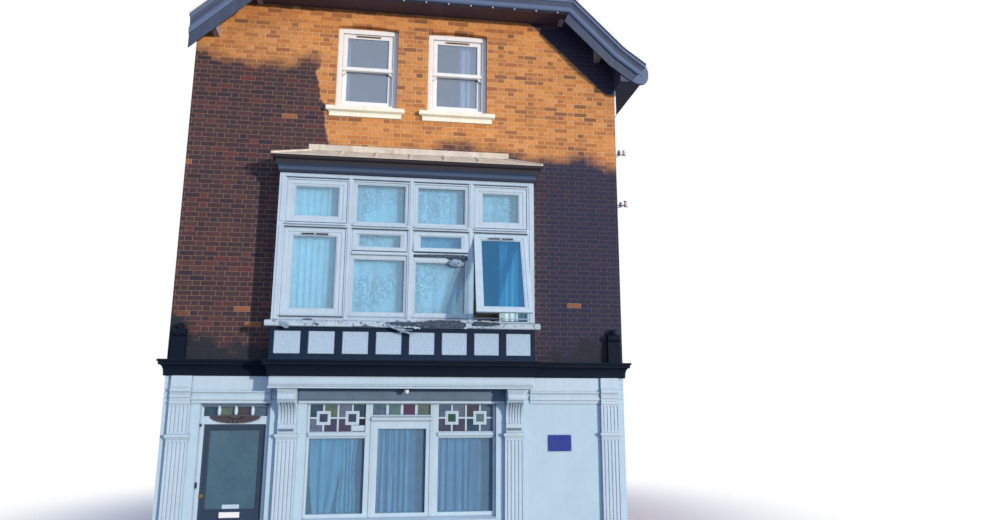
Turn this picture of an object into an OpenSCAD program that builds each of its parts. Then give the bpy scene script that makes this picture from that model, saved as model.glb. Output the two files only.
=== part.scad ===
// Three-storey brick house with a shop front, an oriel bay and a half-hipped gable to the street.
// X runs along the front, Y runs back into the house and Z runs up. The origin lies on the ground
// below the middle of the plan.

/* [House] */
// Width of the front
house_w = 6820; // [6500:10:7400]
// Depth from the front wall to the rear wall
house_d = 8000; // [7500:50:11000]
// Thickness of the brick walls
wall_t = 330; // [220:5:400]
// Thickness of each floor
floor_t = 200; // [120:5:250]
// Top of the ground floor
ground_floor_z = 150; // [100:5:200]
// Height of the first floor above the shop cornice
first_floor_rise = 184; // [160:2:284]
// Height of the second floor above the head of the bay
second_floor_rise = 410; // [330:5:550]
// From the edge of the house to the end of the name board
side_bay_w = 1490; // [1440:5:1560]

/* [Roof] */
// Height of the ridge above the half-hip eave
hip_h = 2590; // [2300:10:2900]
// Slope of the main roof
main_pitch = 44.5; // [42:0.5:47]
// Slope of the half hips
hip_pitch = 50; // [42:1:60]
// Height of the half-hip eave above the window heads
eave_rise = 560; // [520:5:650]
// Thickness of tiles and rafters
roof_t = 150; // [120:5:165]
// How far the roof stands out over the front and rear walls
verge_out = 370; // [250:5:500]
// Where the slope begins to flatten, measured outwards from the side wall
kick_out = 60; // [20:5:100]
// Edge of the tiles, measured outwards from the side wall
eave_out = 430; // [380:5:520]
// Slope of the flattened foot
foot_pitch = 36; // [30:1:40]
// Depth of the side soffit below the tile line over the side wall
side_soffit_drop = 629; // [580:1:700]
// Thickness of soffit boards
soffit_t = 25; // [15:1:35]
// Depth of the moulding below the tiles
barge_moulding_h = 248; // [200:2:260]
// Depth of the whole bargeboard below the tiles
barge_h = 395; // [330:5:420]
// Thickness of the bargeboard
barge_t = 32; // [22:1:45]
// Radius of the ridge tiles
ridge_tile_r = 115; // [90:5:140]
// Radius of the side gutter
gutter_r = 52; // [40:1:60]

/* [Sash windows] */
// Width of a sash window
sash_w = 980; // [800:10:1050]
// Height of a sash window
sash_h = 1400; // [1200:10:1420]
// Distance between the two windows of a row
sash_spacing = 1476; // [1400:2:1700]
// Foot of the second-floor windows above the roof of the bay
sash_above_bay = 760; // [700:5:820]
// Foot of the lower rear and side windows above their floor
sash_above_floor = 850; // [780:10:950]
// Distance between the windows of the side wall
side_spacing = 3400; // [2600:20:4000]
// Depth of the reveal in front of a window
sash_reveal = 75; // [50:5:100]
// Depth of a window frame
sash_frame_d = 110; // [100:5:130]
// Face of a window frame
sash_frame_face = 80; // [60:1:90]
// Face of a sash
sash_face = 75; // [55:1:80]
// Rise of the arched brick heads of the front windows
head_rise = 30; // [15:1:45]
// Height of a stone sill
sill_h = 170; // [140:5:200]
// How far a stone sill stands out of the wall
sill_out = 75; // [50:5:100]
// How far a stone sill runs past its window
sill_past = 130; // [80:5:150]
// Thickness of glass
glass_t = 6; // [4:1:10]

/* [Oriel bay] */
// From the edge of the house to the bay
bay_margin = 1480; // [1440:5:1560]
// How far the bay stands out
bay_out = 380; // [330:5:450]
// Height of the panelled base
bay_base_h = 464; // [430:2:500]
// Height of the sill
bay_sill_h = 100; // [80:5:120]
// How far the sill stands out
bay_sill_out = 75; // [50:5:100]
// From the sill to the top of the transom
bay_light_h = 1450; // [1350:5:1550]
// From the transom to the top of the frame
bay_toplight_h = 760; // [700:5:800]
// Depth of the frame timbers
bay_frame_d = 110; // [100:5:130]
// Face of the corner posts
bay_post = 110; // [90:5:130]
// Face of a mullion
bay_mullion = 90; // [70:2:100]
// Face of the transom, head and vent rails
bay_rail = 80; // [70:2:90]
// How far the middle mullion stands from the middle of the bay
bay_shift = 35; // [0:5:60]
// Height of the small vents of the two middle lights
vent_h = 330; // [280:5:380]
// Face of a casement
casement_face = 60; // [50:1:70]
// Thickness of a casement
casement_t = 45; // [40:1:50]
// How far the open casement stands out, in degrees
open_casement = 20; // [5:1:30]
// How far the open vent stands out, in degrees
open_vent = 6; // [2:1:12]
// Height of the lead upstand on the wall
flashing_h = 100; // [70:5:130]
// Radius of the lead rolls
roll_r = 22; // [16:1:28]
// Distance between lead rolls
roll_pitch = 530; // [450:10:560]
// Height of the black fascia
bay_fascia_h = 245; // [225:5:265]
// Rise of the bay roof to the wall
bay_roof_rise = 255; // [200:5:300]
// Width of a roughcast panel
panel_w = 375; // [340:5:395]
// Number of roughcast panels
panel_n = 8; // [6:1:8]

/* [Shop front] */
// From the head of the shop window to the cornice
frieze_h = 390; // [370:5:420]
// Height of the cornice
cornice_h = 236; // [220:2:250]
// How far the cornice stands out of the wall
cornice_out = 110; // [100:5:150]
// How far the name board stands out
board_out = 300; // [260:5:340]
// Height of the name board
board_h = 173; // [150:1:180]
// Width of a pilaster
pilaster_w = 280; // [240:5:290]
// How far a pilaster stands out
pilaster_out = 55; // [40:1:70]
// Depth of the pilaster caps below the window head
cap_drop = 435; // [400:5:480]
// From the end of the name board to the middle of a console
console_in = 252; // [230:2:280]
// Width of a console
console_w = 255; // [220:5:270]
// Width of a flute of a console
console_flute_w = 22; // [16:1:26]
// Heights of the three bands of an end pilaster over its cap
low_band_rise = 430; // [410:5:450]
mid_band_rise = 520; // [500:5:540]
top_band_rise = 600; // [580:5:620]
// Height of the two lower bands
head_band_h = 35; // [30:1:45]
// Height of the top band
top_band_h = 50; // [40:1:60]
// Wall between a pilaster and the shop window
shop_margin = 128; // [110:2:200]
// Top of the shop window sill
shop_sill_z = 715; // [650:5:780]
// Height of the shop window sill
shop_sill_h = 110; // [80:5:140]
// How far the shop window stands back
shop_reveal = 60; // [40:5:100]
// Depth of the shop frame
shop_frame_d = 90; // [70:5:110]
// Height of the toplights
shop_toplight_h = 410; // [380:5:440]
// Width of the middle light
mid_light_w = 940; // [860:10:1000]

/* [Door] */
// How far the doorway stands right of the middle of its bay
door_shift = 10; // [-10:1:20]
// Width of the door leaf
door_w = 878; // [800:2:880]
// Height of the door leaf
door_h = 1872; // [1860:2:1880]
// From the foot of the door leaf to the middle of its lock rail
lock_rail_rise = 613; // [590:1:640]
// Thickness of the door leaf
door_t = 44; // [38:1:50]
// Gap round the door leaf
door_gap = 7; // [6.5:0.5:8]
// Face of the door posts
door_post = 46; // [36:1:48]
// How far the door stands back
door_reveal = 60; // [40:5:90]
// Height of the doorstep
step_h = 170; // [160:1:180]
// Height of the small lights over the door
fan_h = 159; // [140:1:190]
// Height of the ribbed shell below them
shell_h = 100; // [80:1:110]
// Radius of a hinge knuckle
knuckle_r = 8; // [7:0.5:9]

/* [Hidden] */
$fn = 48;

fan_top = 25; // frame over the small lights
half_w = house_w / 2;
half_d = house_d / 2;
inner_w = house_w - 2 * wall_t;
inner_d = house_d - 2 * wall_t;

// Heights, each from the one below
shop_head_z = step_h + door_h + 2 * door_gap + shell_h + fan_h + fan_top;
cornice_z = shop_head_z + frieze_h;
beam_top_z = cornice_z + cornice_h;
first_floor_z = beam_top_z + first_floor_rise;
bay_sill_z = beam_top_z + bay_base_h;
bay_foot_z = bay_sill_z + bay_sill_h;
bay_transom_z = bay_foot_z + bay_light_h;
bay_head_z = bay_transom_z + bay_toplight_h;
second_floor_z = bay_head_z + second_floor_rise;
bay_fascia_z = bay_head_z + bay_fascia_h;
bay_roof_z = bay_fascia_z + bay_roof_rise;
sash_z = bay_roof_z + sash_above_bay;
hip_eave_z = sash_z + sash_h + eave_rise;
ridge_z = hip_eave_z + hip_h;
lower_sash_z = first_floor_z + sash_above_floor;
ground_sash_z = ground_floor_z + sash_above_floor;

// Places across the front
board_w = house_w - 2 * side_bay_w;
bay_w = house_w - 2 * bay_margin;
bay_light = (bay_w - 200) / 4;
pilaster_x = board_w / 2 - console_in;
end_pilaster_x = half_w - 100 - pilaster_w / 2;
shop_w = 2 * (pilaster_x - pilaster_w / 2 - shop_margin);
door_x = -(pilaster_x + end_pilaster_x) / 2 + door_shift;
shop_transom_z = shop_head_z - shop_toplight_h;
cap_z = shop_head_z - cap_drop;

// Roof lines: the slope as a height over a distance from the ridge
roof_drop = roof_t / cos(main_pitch);
hip_drop = roof_t / cos(hip_pitch);
kick_x = half_w + kick_out;
eave_x = half_w + eave_out;
fascia_x = eave_x - 60;
hip_half_w = (ridge_z - hip_eave_z) / tan(main_pitch);
hip_run = (ridge_z - hip_eave_z) / tan(hip_pitch);
hip_y = -half_d - verge_out;
roof_base = second_floor_z;
seat = 0.1; // gap that keeps sloping pieces apart where one lies on the other
function slope_z(x) = ridge_z - x * tan(main_pitch);
kick_z = slope_z(kick_x);
eave_z = kick_z - (eave_x - kick_x) * tan(foot_pitch);
side_soffit_z = slope_z(half_w) - side_soffit_drop;
soffit_z = hip_eave_z - hip_drop - soffit_t - 2;
gable_top_z = hip_eave_z + verge_out * tan(hip_pitch) - hip_drop;
gable_top_x = (ridge_z - roof_drop - gable_top_z) / tan(main_pitch);

// Openings of the front
window_left = -shop_w / 2;
window_right = shop_w / 2;
door_left = door_x - door_w / 2 - door_gap - door_post;
door_right = door_x + door_w / 2 + door_gap + door_post;
pier_top_z = shop_head_z;
sash_row = [-sash_spacing / 2, sash_spacing / 2];
side_row = [-side_spacing / 2, side_spacing / 2];

white = "white";
brick = "indianred";
black = "dimgray";

function unit(v) = v / norm(v);
function right_of(u) = [u.y, -u.x];
function direction(pts, i) = unit(pts[i + 1] - pts[i]);

// Point of the mitre line at corner i of a path, d to the right of the path
function mitre(pts, i, d) =
    let (last = len(pts) - 1,
         n0 = right_of(direction(pts, max(i - 1, 0))),
         n1 = right_of(direction(pts, min(i, last - 1))))
    pts[i] + (n0 + n1) / (1 + n0 * n1) * d;

// Length i of a moulding that follows a path, cut to its mitres, less an open joint at each
// end. The profile is a list of [distance to the right, height].
module mitred_length(pts, profile, i, joint = 0) {
    outs = [for (p = profile) p.x];
    highs = [for (p = profile) p.y];
    out0 = min(outs) - 1;
    out1 = max(outs) + 1;
    z0 = min(highs) - 1;
    z1 = max(highs) + 1;
    spare = 3 * max(abs(out0), abs(out1));
    u = direction(pts, i);
    run = norm(pts[i + 1] - pts[i]);
    intersection() {
        translate([pts[i].x, pts[i].y, 0])
            rotate([0, 0, atan2(u.y, u.x)])
                translate([-spare, 0, 0])
                    rotate([90, 0, 90])
                        linear_extrude(run + 2 * spare)
                            polygon([for (p = profile) [-p.x, p.y]]);
        translate([0, 0, z0])
            linear_extrude(z1 - z0)
                polygon([mitre(pts, i, out0) + joint * u, mitre(pts, i + 1, out0) - joint * u,
                         mitre(pts, i + 1, out1) - joint * u, mitre(pts, i, out1) + joint * u]);
    }
}

module mitred_run(pts, profile) {
    for (i = [0 : len(pts) - 2]) mitred_length(pts, profile, i);
}

// Frames of reference: the plane y = 0 is the wall face, and -y points out of the house
module on_front() { translate([0, -half_d, 0]) children(); }
module on_rear() { mirror([0, 1, 0]) on_front() children(); }
module on_right() { translate([half_w, 0, 0]) rotate([0, 0, 90]) children(); }

// Box from x0 to x1, y0 to y1 and z0 to z1
module block(x, y, z) {
    translate([x[0], y[0], z[0]]) cube([x[1] - x[0], y[1] - y[0], z[1] - z[0]]);
}

// Shape drawn in x and z, made thick from y0 to y1
module upright(y) {
    translate([0, y[1], 0]) rotate([90, 0, 0]) linear_extrude(y[1] - y[0]) children();
}

// Shape drawn in y and z, made wide from x0 to x1
module sideways(x) {
    translate([x[0], 0, 0]) rotate([90, 0, 90]) linear_extrude(x[1] - x[0]) children();
}

module window_holes(xs, z) {
    for (x = xs) translate([x - sash_w / 2, z]) square([sash_w, sash_h]);
}

// Walls

// Piers on both sides of the street door
module front_piers() {
    color(white) on_front() for (x = [[-half_w, door_left], [door_right, window_left]])
        block(x, [0, wall_t], [0, pier_top_z]);
}

module front_wall_right() {
    color(white) on_front() block([window_right, half_w], [0, wall_t], [0, pier_top_z]);
}

bay_hole_w = bay_w - 2 * bay_post;

// Wall over the shop front, raised to the sill inside the bay
module shop_beam() {
    color(brick) on_front() upright([0, wall_t])
        polygon([[-half_w, pier_top_z], [half_w, pier_top_z], [half_w, beam_top_z],
                 [bay_hole_w / 2, beam_top_z], [bay_hole_w / 2, bay_foot_z],
                 [-bay_hole_w / 2, bay_foot_z], [-bay_hole_w / 2, beam_top_z], [-half_w, beam_top_z]]);
}

// Walls on both sides of the bay
module front_walls_upper() {
    color(brick) on_front() for (side = [0, 1]) mirror([side, 0, 0])
        block([bay_hole_w / 2, half_w], [0, wall_t], [beam_top_z, bay_head_z]);
}

// Height of the underside of the slope where a wall stops
function wall_top_z(x) = slope_z(x) - roof_drop - seat;

function gable_outline(foot_z) = [
    [-half_w, foot_z], [half_w, foot_z], [half_w, wall_top_z(half_w)],
    [gable_top_x, gable_top_z - seat], [-gable_top_x, gable_top_z - seat], [-half_w, wall_top_z(half_w)]];

// The gable is laid in three lifts: up to the window sills, beside the windows and over their heads
module gable_lift(z0, z1) {
    color(brick) on_front() upright([0, wall_t]) intersection() {
        polygon(gable_outline(z0));
        translate([-half_w, z0]) square([house_w, z1 - z0]);
    }
}

module gable_wall() { gable_lift(bay_head_z, sash_z); }

module gable_piers() {
    difference() {
        gable_lift(sash_z, sash_z + sash_h);
        on_front() upright([-1, wall_t + 1]) window_holes(sash_row, sash_z);
    }
}

// Shallow arch over a window, drawn in twelve chords
module arched_head(x, z) {
    polygon(concat([[x - sash_w / 2, z - 1]],
                   [for (i = [-6 : 6]) [x + i / 12 * sash_w, z + head_rise * (1 - i * i / 36)]],
                   [[x + sash_w / 2, z - 1]]));
}

// The brick heads rise in a shallow arch in front of the frames
module gable_head() {
    difference() {
        gable_lift(sash_z + sash_h, ridge_z);
        on_front() upright([-1, sash_reveal]) for (x = sash_row) arched_head(x, sash_z + sash_h);
    }
}

module rear_wall() {
    color(brick) on_rear() upright([0, wall_t]) difference() {
        polygon(gable_outline(0));
        for (z = [ground_sash_z, lower_sash_z, sash_z]) window_holes(sash_row, z);
    }
}

// Side wall with its top cut to the slope of the roof
module side_wall_shape() {
    upright([-inner_d / 2, inner_d / 2])
        polygon([[half_w - wall_t, 0], [half_w, 0], [half_w, wall_top_z(half_w)],
                 [half_w - wall_t, wall_top_z(half_w - wall_t)]]);
}

module party_wall() {
    color(brick) mirror([1, 0, 0]) side_wall_shape();
}

module right_wall() {
    color(brick) difference() {
        side_wall_shape();
        on_right() upright([-1, wall_t + 1])
            for (z = [ground_sash_z, lower_sash_z]) window_holes(side_row, z);
    }
}

// Floors

module floor_slab(top_z, thick) {
    block([-inner_w / 2, inner_w / 2], [-inner_d / 2, inner_d / 2], [top_z - thick, top_z]);
}

module ground_floor() {
    color("gray") floor_slab(ground_floor_z, ground_floor_z);
}

module first_floor() {
    color("tan") floor_slab(first_floor_z, floor_t);
}

module second_floor() {
    color("tan") floor_slab(second_floor_z, floor_t);
}

// Roof

// Everything below a roof surface that lies drop_main and drop_hip below the tiles
module roof_body(drop_main, drop_hip, past) {
    intersection() {
        upright([hip_y - past, -hip_y + past])
            polygon([[-half_w - past, roof_base], [-half_w - past, slope_z(half_w + past) - drop_main],
                     [0, ridge_z - drop_main], [kick_x, kick_z - drop_main],
                     [eave_x + past, eave_z - past * tan(foot_pitch) - drop_main],
                     [eave_x + past, roof_base]]);
        sideways([-half_w - past, eave_x + past])
            polygon([[hip_y - past, roof_base], [hip_y - past, hip_eave_z - drop_hip - past * tan(hip_pitch)],
                     [hip_y + hip_run + 100, hip_eave_z - drop_hip + (hip_run + 100) * tan(hip_pitch)],
                     [-hip_y - hip_run - 100, hip_eave_z - drop_hip + (hip_run + 100) * tan(hip_pitch)],
                     [-hip_y + past, hip_eave_z - drop_hip - past * tan(hip_pitch)],
                     [-hip_y + past, roof_base]]);
    }
}

// Height of the tiles near the side eave
function foot_z(x) = kick_z - (x - kick_x) * tan(foot_pitch);
tile_edge = 60;

// The slab thins to the tiles alone past the side fascia
module roof_shell() {
    x0 = fascia_x - soffit_t;
    difference() {
        roof_body(0, 0, 0);
        roof_body(roof_drop, hip_drop, 10);
        upright([2 * hip_y, -2 * hip_y])
            polygon([[x0, roof_base], [x0, foot_z(x0) - tile_edge],
                     [eave_x + 10, foot_z(eave_x + 10) - tile_edge], [eave_x + 10, roof_base]]);
    }
}

// Plan of the half hips, a little past the eave
module hip_plan() {
    for (side = [0, 1]) mirror([0, side])
        polygon([[0, hip_y + hip_run], [-1.1 * hip_half_w, hip_y - 0.1 * hip_run],
                 [1.1 * hip_half_w, hip_y - 0.1 * hip_run]]);
}

module roof_slope(side) {
    intersection() {
        roof_shell();
        translate([0, 0, roof_base - 10]) linear_extrude(ridge_z - roof_base + 20) difference() {
            translate([side > 0 ? 0 : -2 * half_w, -house_d]) square([2 * half_w, 2 * house_d]);
            hip_plan();
        }
    }
}

module roof_left() { color("brown") roof_slope(-1); }

module roof_right() { color("brown") roof_slope(1); }

module roof_half_hips() {
    color("brown") intersection() {
        roof_shell();
        translate([0, 0, roof_base - 10]) linear_extrude(ridge_z - roof_base + 20) hip_plan();
    }
}

// Round bar from a to b
module rod(a, b, r) {
    v = b - a;
    translate(a) rotate([0, acos(v.z / norm(v)), atan2(v.y, v.x)]) cylinder(r = r, h = norm(v));
}

module ridge_tiles() {
    top = [0, hip_y + hip_run, ridge_z];
    color("sienna") difference() {
        union() {
            rod(top, [0, -top.y, ridge_z], ridge_tile_r);
            for (end = [1, -1], side = [1, -1])
                rod([side * hip_half_w, end * hip_y, hip_eave_z], [0, end * top.y, ridge_z], ridge_tile_r);
            for (end = [1, -1]) translate([0, end * top.y, ridge_z]) sphere(r = ridge_tile_r + 4);
        }
        roof_body(-seat, -seat, 200);
        for (end = [0, 1]) mirror([0, end, 0]) upright([hip_y - 200, hip_y])
            translate([-half_w, roof_base]) square([2 * half_w, ridge_z - roof_base]);
    }
}

// Line of the tiles on the front, from past the side eave over the half hip to the party wall
verge_path = [
    [eave_x + 300, eave_z - 300 * tan(foot_pitch)], [kick_x, kick_z], [hip_half_w, hip_eave_z],
    [-hip_half_w, hip_eave_z], [-half_w - 300, slope_z(half_w + 300)]];

// Moulding below the tiles: a fillet, a hollow and a round nose
barge_moulding = concat(
    [[12, 0], [12, barge_t + 14], [58, barge_t + 14]],
    [for (a = [0 : 15 : 90]) [64 + 70 * sin(a) , barge_t - 10 * sin(2 * a)]],
    [for (a = [0 : 20 : 180]) [barge_moulding_h - 50 - 44 * cos(a), barge_t + 24 * sin(a)]]);
level_profile = concat(barge_moulding, [[barge_moulding_h, barge_t - 6], [barge_moulding_h, 0]]);
raking_profile = concat(
    barge_moulding, [[barge_moulding_h, barge_t - 12], [barge_h, barge_t - 12], [barge_h, 0]]);
barge_foot = [half_w + 131, side_soffit_z - 65];
barge_end_z = side_soffit_z + 130;

// The path runs from right to left seen from the street, so its right side is above the roof
module front_bargeboard() {
    intersection() {
        translate([0, hip_y, 0]) rotate([90, 0, 0]) for (i = [0 : 3])
            mitred_length(verge_path, [for (p = i == 2 ? level_profile : raking_profile) [-p.x, p.y]], i, 0.5);
        upright([hip_y - 200, hip_y + 200])
            polygon([[-half_w, hip_eave_z + 100], [eave_x, hip_eave_z + 100], [eave_x, barge_end_z], barge_foot,
                     [barge_foot.x - 300, barge_foot.y - 100], [-half_w, barge_foot.y - 100]]);
    }
}

module bargeboards() {
    color("slategray") {
        front_bargeboard();
        mirror([0, 1, 0]) front_bargeboard();
    }
}

level_x = (ridge_z - roof_drop - soffit_z - soffit_t) / tan(main_pitch);
function under_soffit(x) = slope_z(x) - roof_drop - soffit_t / cos(main_pitch);
soffit_bend = [level_x - 1, soffit_z];

// Boards that close the overhang from below: level at the half hip, sloping at the verges
module front_soffit() {
    upright([hip_y, -half_d]) union() {
        translate([-level_x, soffit_z]) square([2 * level_x, soffit_t]);
        for (side = [0, 1]) mirror([side, 0])
            polygon([[level_x - 60, soffit_z], [level_x - 60, soffit_z + soffit_t],
                     [level_x, soffit_z + soffit_t - seat],
                     [half_w, wall_top_z(half_w)],
                     [half_w, under_soffit(half_w)],
                     soffit_bend]);
    }
}

module soffits() {
    color("rosybrown") {
        front_soffit();
        mirror([0, 1, 0]) front_soffit();
    }
}

fascia_top_z = foot_z(fascia_x) - tile_edge;

// Fascia and level soffit along the free side, closed against the verge at both ends
module side_eave_boards() {
    color("slategray") upright([hip_y, -hip_y])
        polygon([[half_w, side_soffit_z], [fascia_x, side_soffit_z], [fascia_x, fascia_top_z],
                 [fascia_x - soffit_t, fascia_top_z + soffit_t * tan(foot_pitch)],
                 [fascia_x - soffit_t, side_soffit_z + soffit_t], [half_w, side_soffit_z + soffit_t]]);
    color("slategray") for (end = [0, 1]) mirror([0, end, 0]) upright([hip_y, -half_d])
        polygon([[half_w, side_soffit_z], [half_w, slope_z(half_w) - roof_drop],
                 [half_w + soffit_t, slope_z(half_w + soffit_t) - roof_drop],
                 [half_w + soffit_t, side_soffit_z]]);
}

// White board down the corner below the eave
module corner_board() {
    color(white) on_front() block([half_w, half_w + 30], [0, 60], [side_soffit_z - 460, side_soffit_z]);
}

module side_gutter() {
    gutter_z = fascia_top_z - 8;
    color("dimgray") translate([fascia_x + gutter_r, 0, gutter_z]) upright([hip_y, -hip_y])
        difference() {
            circle(r = gutter_r);
            circle(r = gutter_r - 5);
            translate([-gutter_r, 0]) square([2 * gutter_r, gutter_r]);
        }
}

// Ends of the purlins that carry the verge
module purlin_ends() {
    color("slategray") for (end = [0, 1]) mirror([0, end, 0])
        for (x = [hip_half_w - 160, half_w - 300], side = [1, -1]) {
            foot = slope_z(x) - roof_drop - 230;
            intersection() {
                translate([side * x, 0, 0]) sideways([-45, 45])
                    polygon([[hip_y, foot + 400], [-half_d, foot + 400], [-half_d, foot],
                             [hip_y + 90, foot + 30], [hip_y, foot + 90]]);
                upright([hip_y, -half_d])
                    polygon([[0, roof_base], [side * half_w, roof_base],
                             [side * half_w, under_soffit(half_w) - seat],
                             [side * soffit_bend.x, soffit_bend.y - seat], [0, soffit_bend.y - seat]]);
            }
        }
}

// Sash windows

module place_sashes() {
    on_front() for (x = sash_row) translate([x, sash_reveal, sash_z]) children();
    on_rear() for (x = sash_row, z = [ground_sash_z, lower_sash_z, sash_z])
        translate([x, sash_reveal, z]) children();
    on_right() for (x = side_row, z = [ground_sash_z, lower_sash_z])
        translate([x, sash_reveal, z]) children();
}

module flat_frame(w, h, face) {
    difference() {
        square([w, h]);
        translate([face, face]) square([w - 2 * face, h - 2 * face]);
    }
}

sash_inner_w = sash_w - 2 * sash_frame_face;
sash_inner_h = sash_h - 2 * sash_frame_face;
sash_leaf_h = (sash_inner_h + sash_face) / 2;
sash_leaf_t = 36;
upper_sash_y = 22;
lower_sash_y = upper_sash_y + sash_leaf_t + 2;

module window_frames() {
    color(white) place_sashes() translate([-sash_w / 2, 0, 0]) upright([0, sash_frame_d])
        flat_frame(sash_w, sash_h, sash_frame_face);
}

module sash_leaf() {
    upright([0, sash_leaf_t]) flat_frame(sash_inner_w, sash_leaf_h, sash_face);
}

module window_sashes() {
    color(white) place_sashes() translate([-sash_inner_w / 2, 0, sash_frame_face]) {
        translate([0, upper_sash_y, sash_inner_h - sash_leaf_h]) sash_leaf();
        translate([0, lower_sash_y, 0]) sash_leaf();
    }
}

module window_glass() {
    pane_w = sash_inner_w - 2 * sash_face;
    pane_h = sash_leaf_h - 2 * sash_face;
    pane_y = (sash_leaf_t - glass_t) / 2;
    color("lightblue") place_sashes() translate([-pane_w / 2, 0, sash_frame_face + sash_face]) {
        translate([0, upper_sash_y + pane_y, sash_inner_h - sash_leaf_h]) cube([pane_w, glass_t, pane_h]);
        translate([0, lower_sash_y + pane_y, 0]) cube([pane_w, glass_t, pane_h]);
    }
}

// Moulded stone sill under a window: a weathered nose over a hollow and a lower band, returned
// at both ends
module stone_sill() {
    end_x = sash_w / 2 + sill_past;
    nose_z = sill_h * 0.55;
    band_out = sill_out * 0.35;
    hollow = 22;
    intersection() {
        sideways([-end_x, end_x]) polygon([
            [0, 0], [0, sill_h], [-sill_out, sill_h - 12], [-sill_out, nose_z],
            [-band_out, nose_z - hollow], [-band_out, 0]]);
        upright([-sill_out, 0]) polygon([
            [-end_x, sill_h], [-end_x, nose_z], [-end_x + sill_out - band_out, nose_z - hollow],
            [-end_x + sill_out - band_out, 0], [end_x - sill_out + band_out, 0],
            [end_x - sill_out + band_out, nose_z - hollow], [end_x, nose_z], [end_x, sill_h]]);
    }
}

module window_sills() {
    color("ghostwhite") {
        on_front() for (x = sash_row) translate([x, 0, sash_z - sill_h]) stone_sill();
        on_rear() for (x = sash_row, z = [ground_sash_z, lower_sash_z, sash_z])
            translate([x, 0, z - sill_h]) stone_sill();
        on_right() for (x = side_row, z = [ground_sash_z, lower_sash_z])
            translate([x, 0, z - sill_h]) stone_sill();
    }
}

// Oriel bay

bay_x = [for (i = [-1 : 1]) i * bay_light + bay_shift];
bay_in = bay_w / 2 - bay_post;
bay_transom_foot = bay_transom_z - bay_rail;
bay_head_foot = bay_head_z - bay_rail - 20;
vent_foot_z = bay_transom_foot - vent_h;

// Left and right edge of light i, from 0 at the left to 3 at the right
function light_left(i) = i == 0 ? -bay_in : bay_x[i - 1] + bay_mullion / 2;
function light_right(i) = i == 3 ? bay_in : bay_x[i] - bay_mullion / 2;

module light_hole(i, z0, z1) {
    translate([light_left(i), z0]) square([light_right(i) - light_left(i), z1 - z0]);
}

module bay_frame() {
    color(white) on_front() {
        upright([-bay_out, -bay_out + bay_frame_d]) difference() {
            translate([-bay_w / 2, bay_foot_z]) square([bay_w, bay_head_z - bay_foot_z]);
            for (i = [0 : 3]) {
                light_hole(i, bay_transom_z, bay_head_foot);
                if (i == 0 || i == 3) {
                    light_hole(i, bay_foot_z + 20, bay_transom_foot);
                } else {
                    light_hole(i, vent_foot_z + 10, bay_transom_foot);
                    light_hole(i, bay_foot_z + 20, vent_foot_z - 50);
                }
            }
        }
    }
}

// Solid cheeks of the bay, from the corner posts back to the wall
module bay_cheeks() {
    color(white) on_front() for (side = [0, 1]) mirror([side, 0, 0])
        block([bay_w / 2 - bay_post, bay_w / 2], [-bay_out + bay_frame_d, 0], [bay_foot_z, bay_head_z]);
}

module bay_ceiling() {
    color(white) on_front()
        block([-bay_in, bay_in], [-bay_out + bay_frame_d, wall_t], [bay_head_z - bay_rail, bay_head_z]);
}

casement_y = -bay_out + 12;
casement_gap = 0.3;

function casement_w(i) = light_right(i) - light_left(i) - 2 * casement_gap;

// Height of a casement, less what its inner edge needs to swing past the rail below
function casement_h(z0, z1, turn) = z1 - z0 - 2 * casement_gap - casement_t * sin(turn);

// Puts a casement of height h in its light, hung at its top and turned out by a few degrees
module casement(i, z0, z1, turn) {
    translate([light_left(i) + casement_gap, casement_y, z1 - casement_gap]) rotate([-turn, 0, 0])
        translate([0, 0, -casement_h(z0, z1, turn)]) children();
}

// Place, feet, heads and opening angle of each casement and vent
hung_lights = [
    [0, bay_transom_z, bay_head_foot, 0], [3, bay_transom_z, bay_head_foot, 0],
    [0, bay_foot_z + 20, bay_transom_foot, 0], [1, vent_foot_z + 10, bay_transom_foot, 0],
    [2, vent_foot_z + 10, bay_transom_foot, open_vent],
    [3, bay_foot_z + 20, bay_transom_foot, open_casement]];
fixed_lights = [
    [1, bay_transom_z, bay_head_foot], [2, bay_transom_z, bay_head_foot],
    [1, bay_foot_z + 20, vent_foot_z - 50], [2, bay_foot_z + 20, vent_foot_z - 50]];

module bay_casements() {
    color(white) on_front() for (l = hung_lights)
        casement(l[0], l[1], l[2], l[3])
            upright([0, casement_t])
                flat_frame(casement_w(l[0]), casement_h(l[1], l[2], l[3]), casement_face);
}

module bay_glass() {
    color("lightblue") on_front() {
        for (l = hung_lights)
            casement(l[0], l[1], l[2], l[3])
                translate([casement_face, (casement_t - glass_t) / 2, casement_face])
                    cube([casement_w(l[0]) - 2 * casement_face, glass_t,
                          casement_h(l[1], l[2], l[3]) - 2 * casement_face]);
        for (l = fixed_lights)
            upright([-bay_out + 40, -bay_out + 40 + glass_t]) light_hole(l[0], l[1], l[2]);
    }
}

module bay_sill() {
    color(white) on_front()
        sideways([-bay_w / 2 - bay_sill_out, bay_w / 2 + bay_sill_out])
            polygon([[0, bay_sill_z], [0, bay_foot_z], [-bay_out, bay_foot_z],
                     [-bay_out - bay_sill_out, bay_foot_z - 22], [-bay_out - bay_sill_out, bay_sill_z + 12],
                     [-bay_out - bay_sill_out + 12, bay_sill_z]]);
}

panel_foot_z = beam_top_z + 80;
panel_h = bay_sill_z - 60 - panel_foot_z;
panel_pitch = (bay_w - 2 * 60 - panel_w) / (panel_n - 1);
base_t = 60;

module panel_places() {
    for (i = [0 : panel_n - 1])
        translate([-bay_w / 2 + 60 + i * panel_pitch, 0, panel_foot_z]) children();
}

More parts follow.
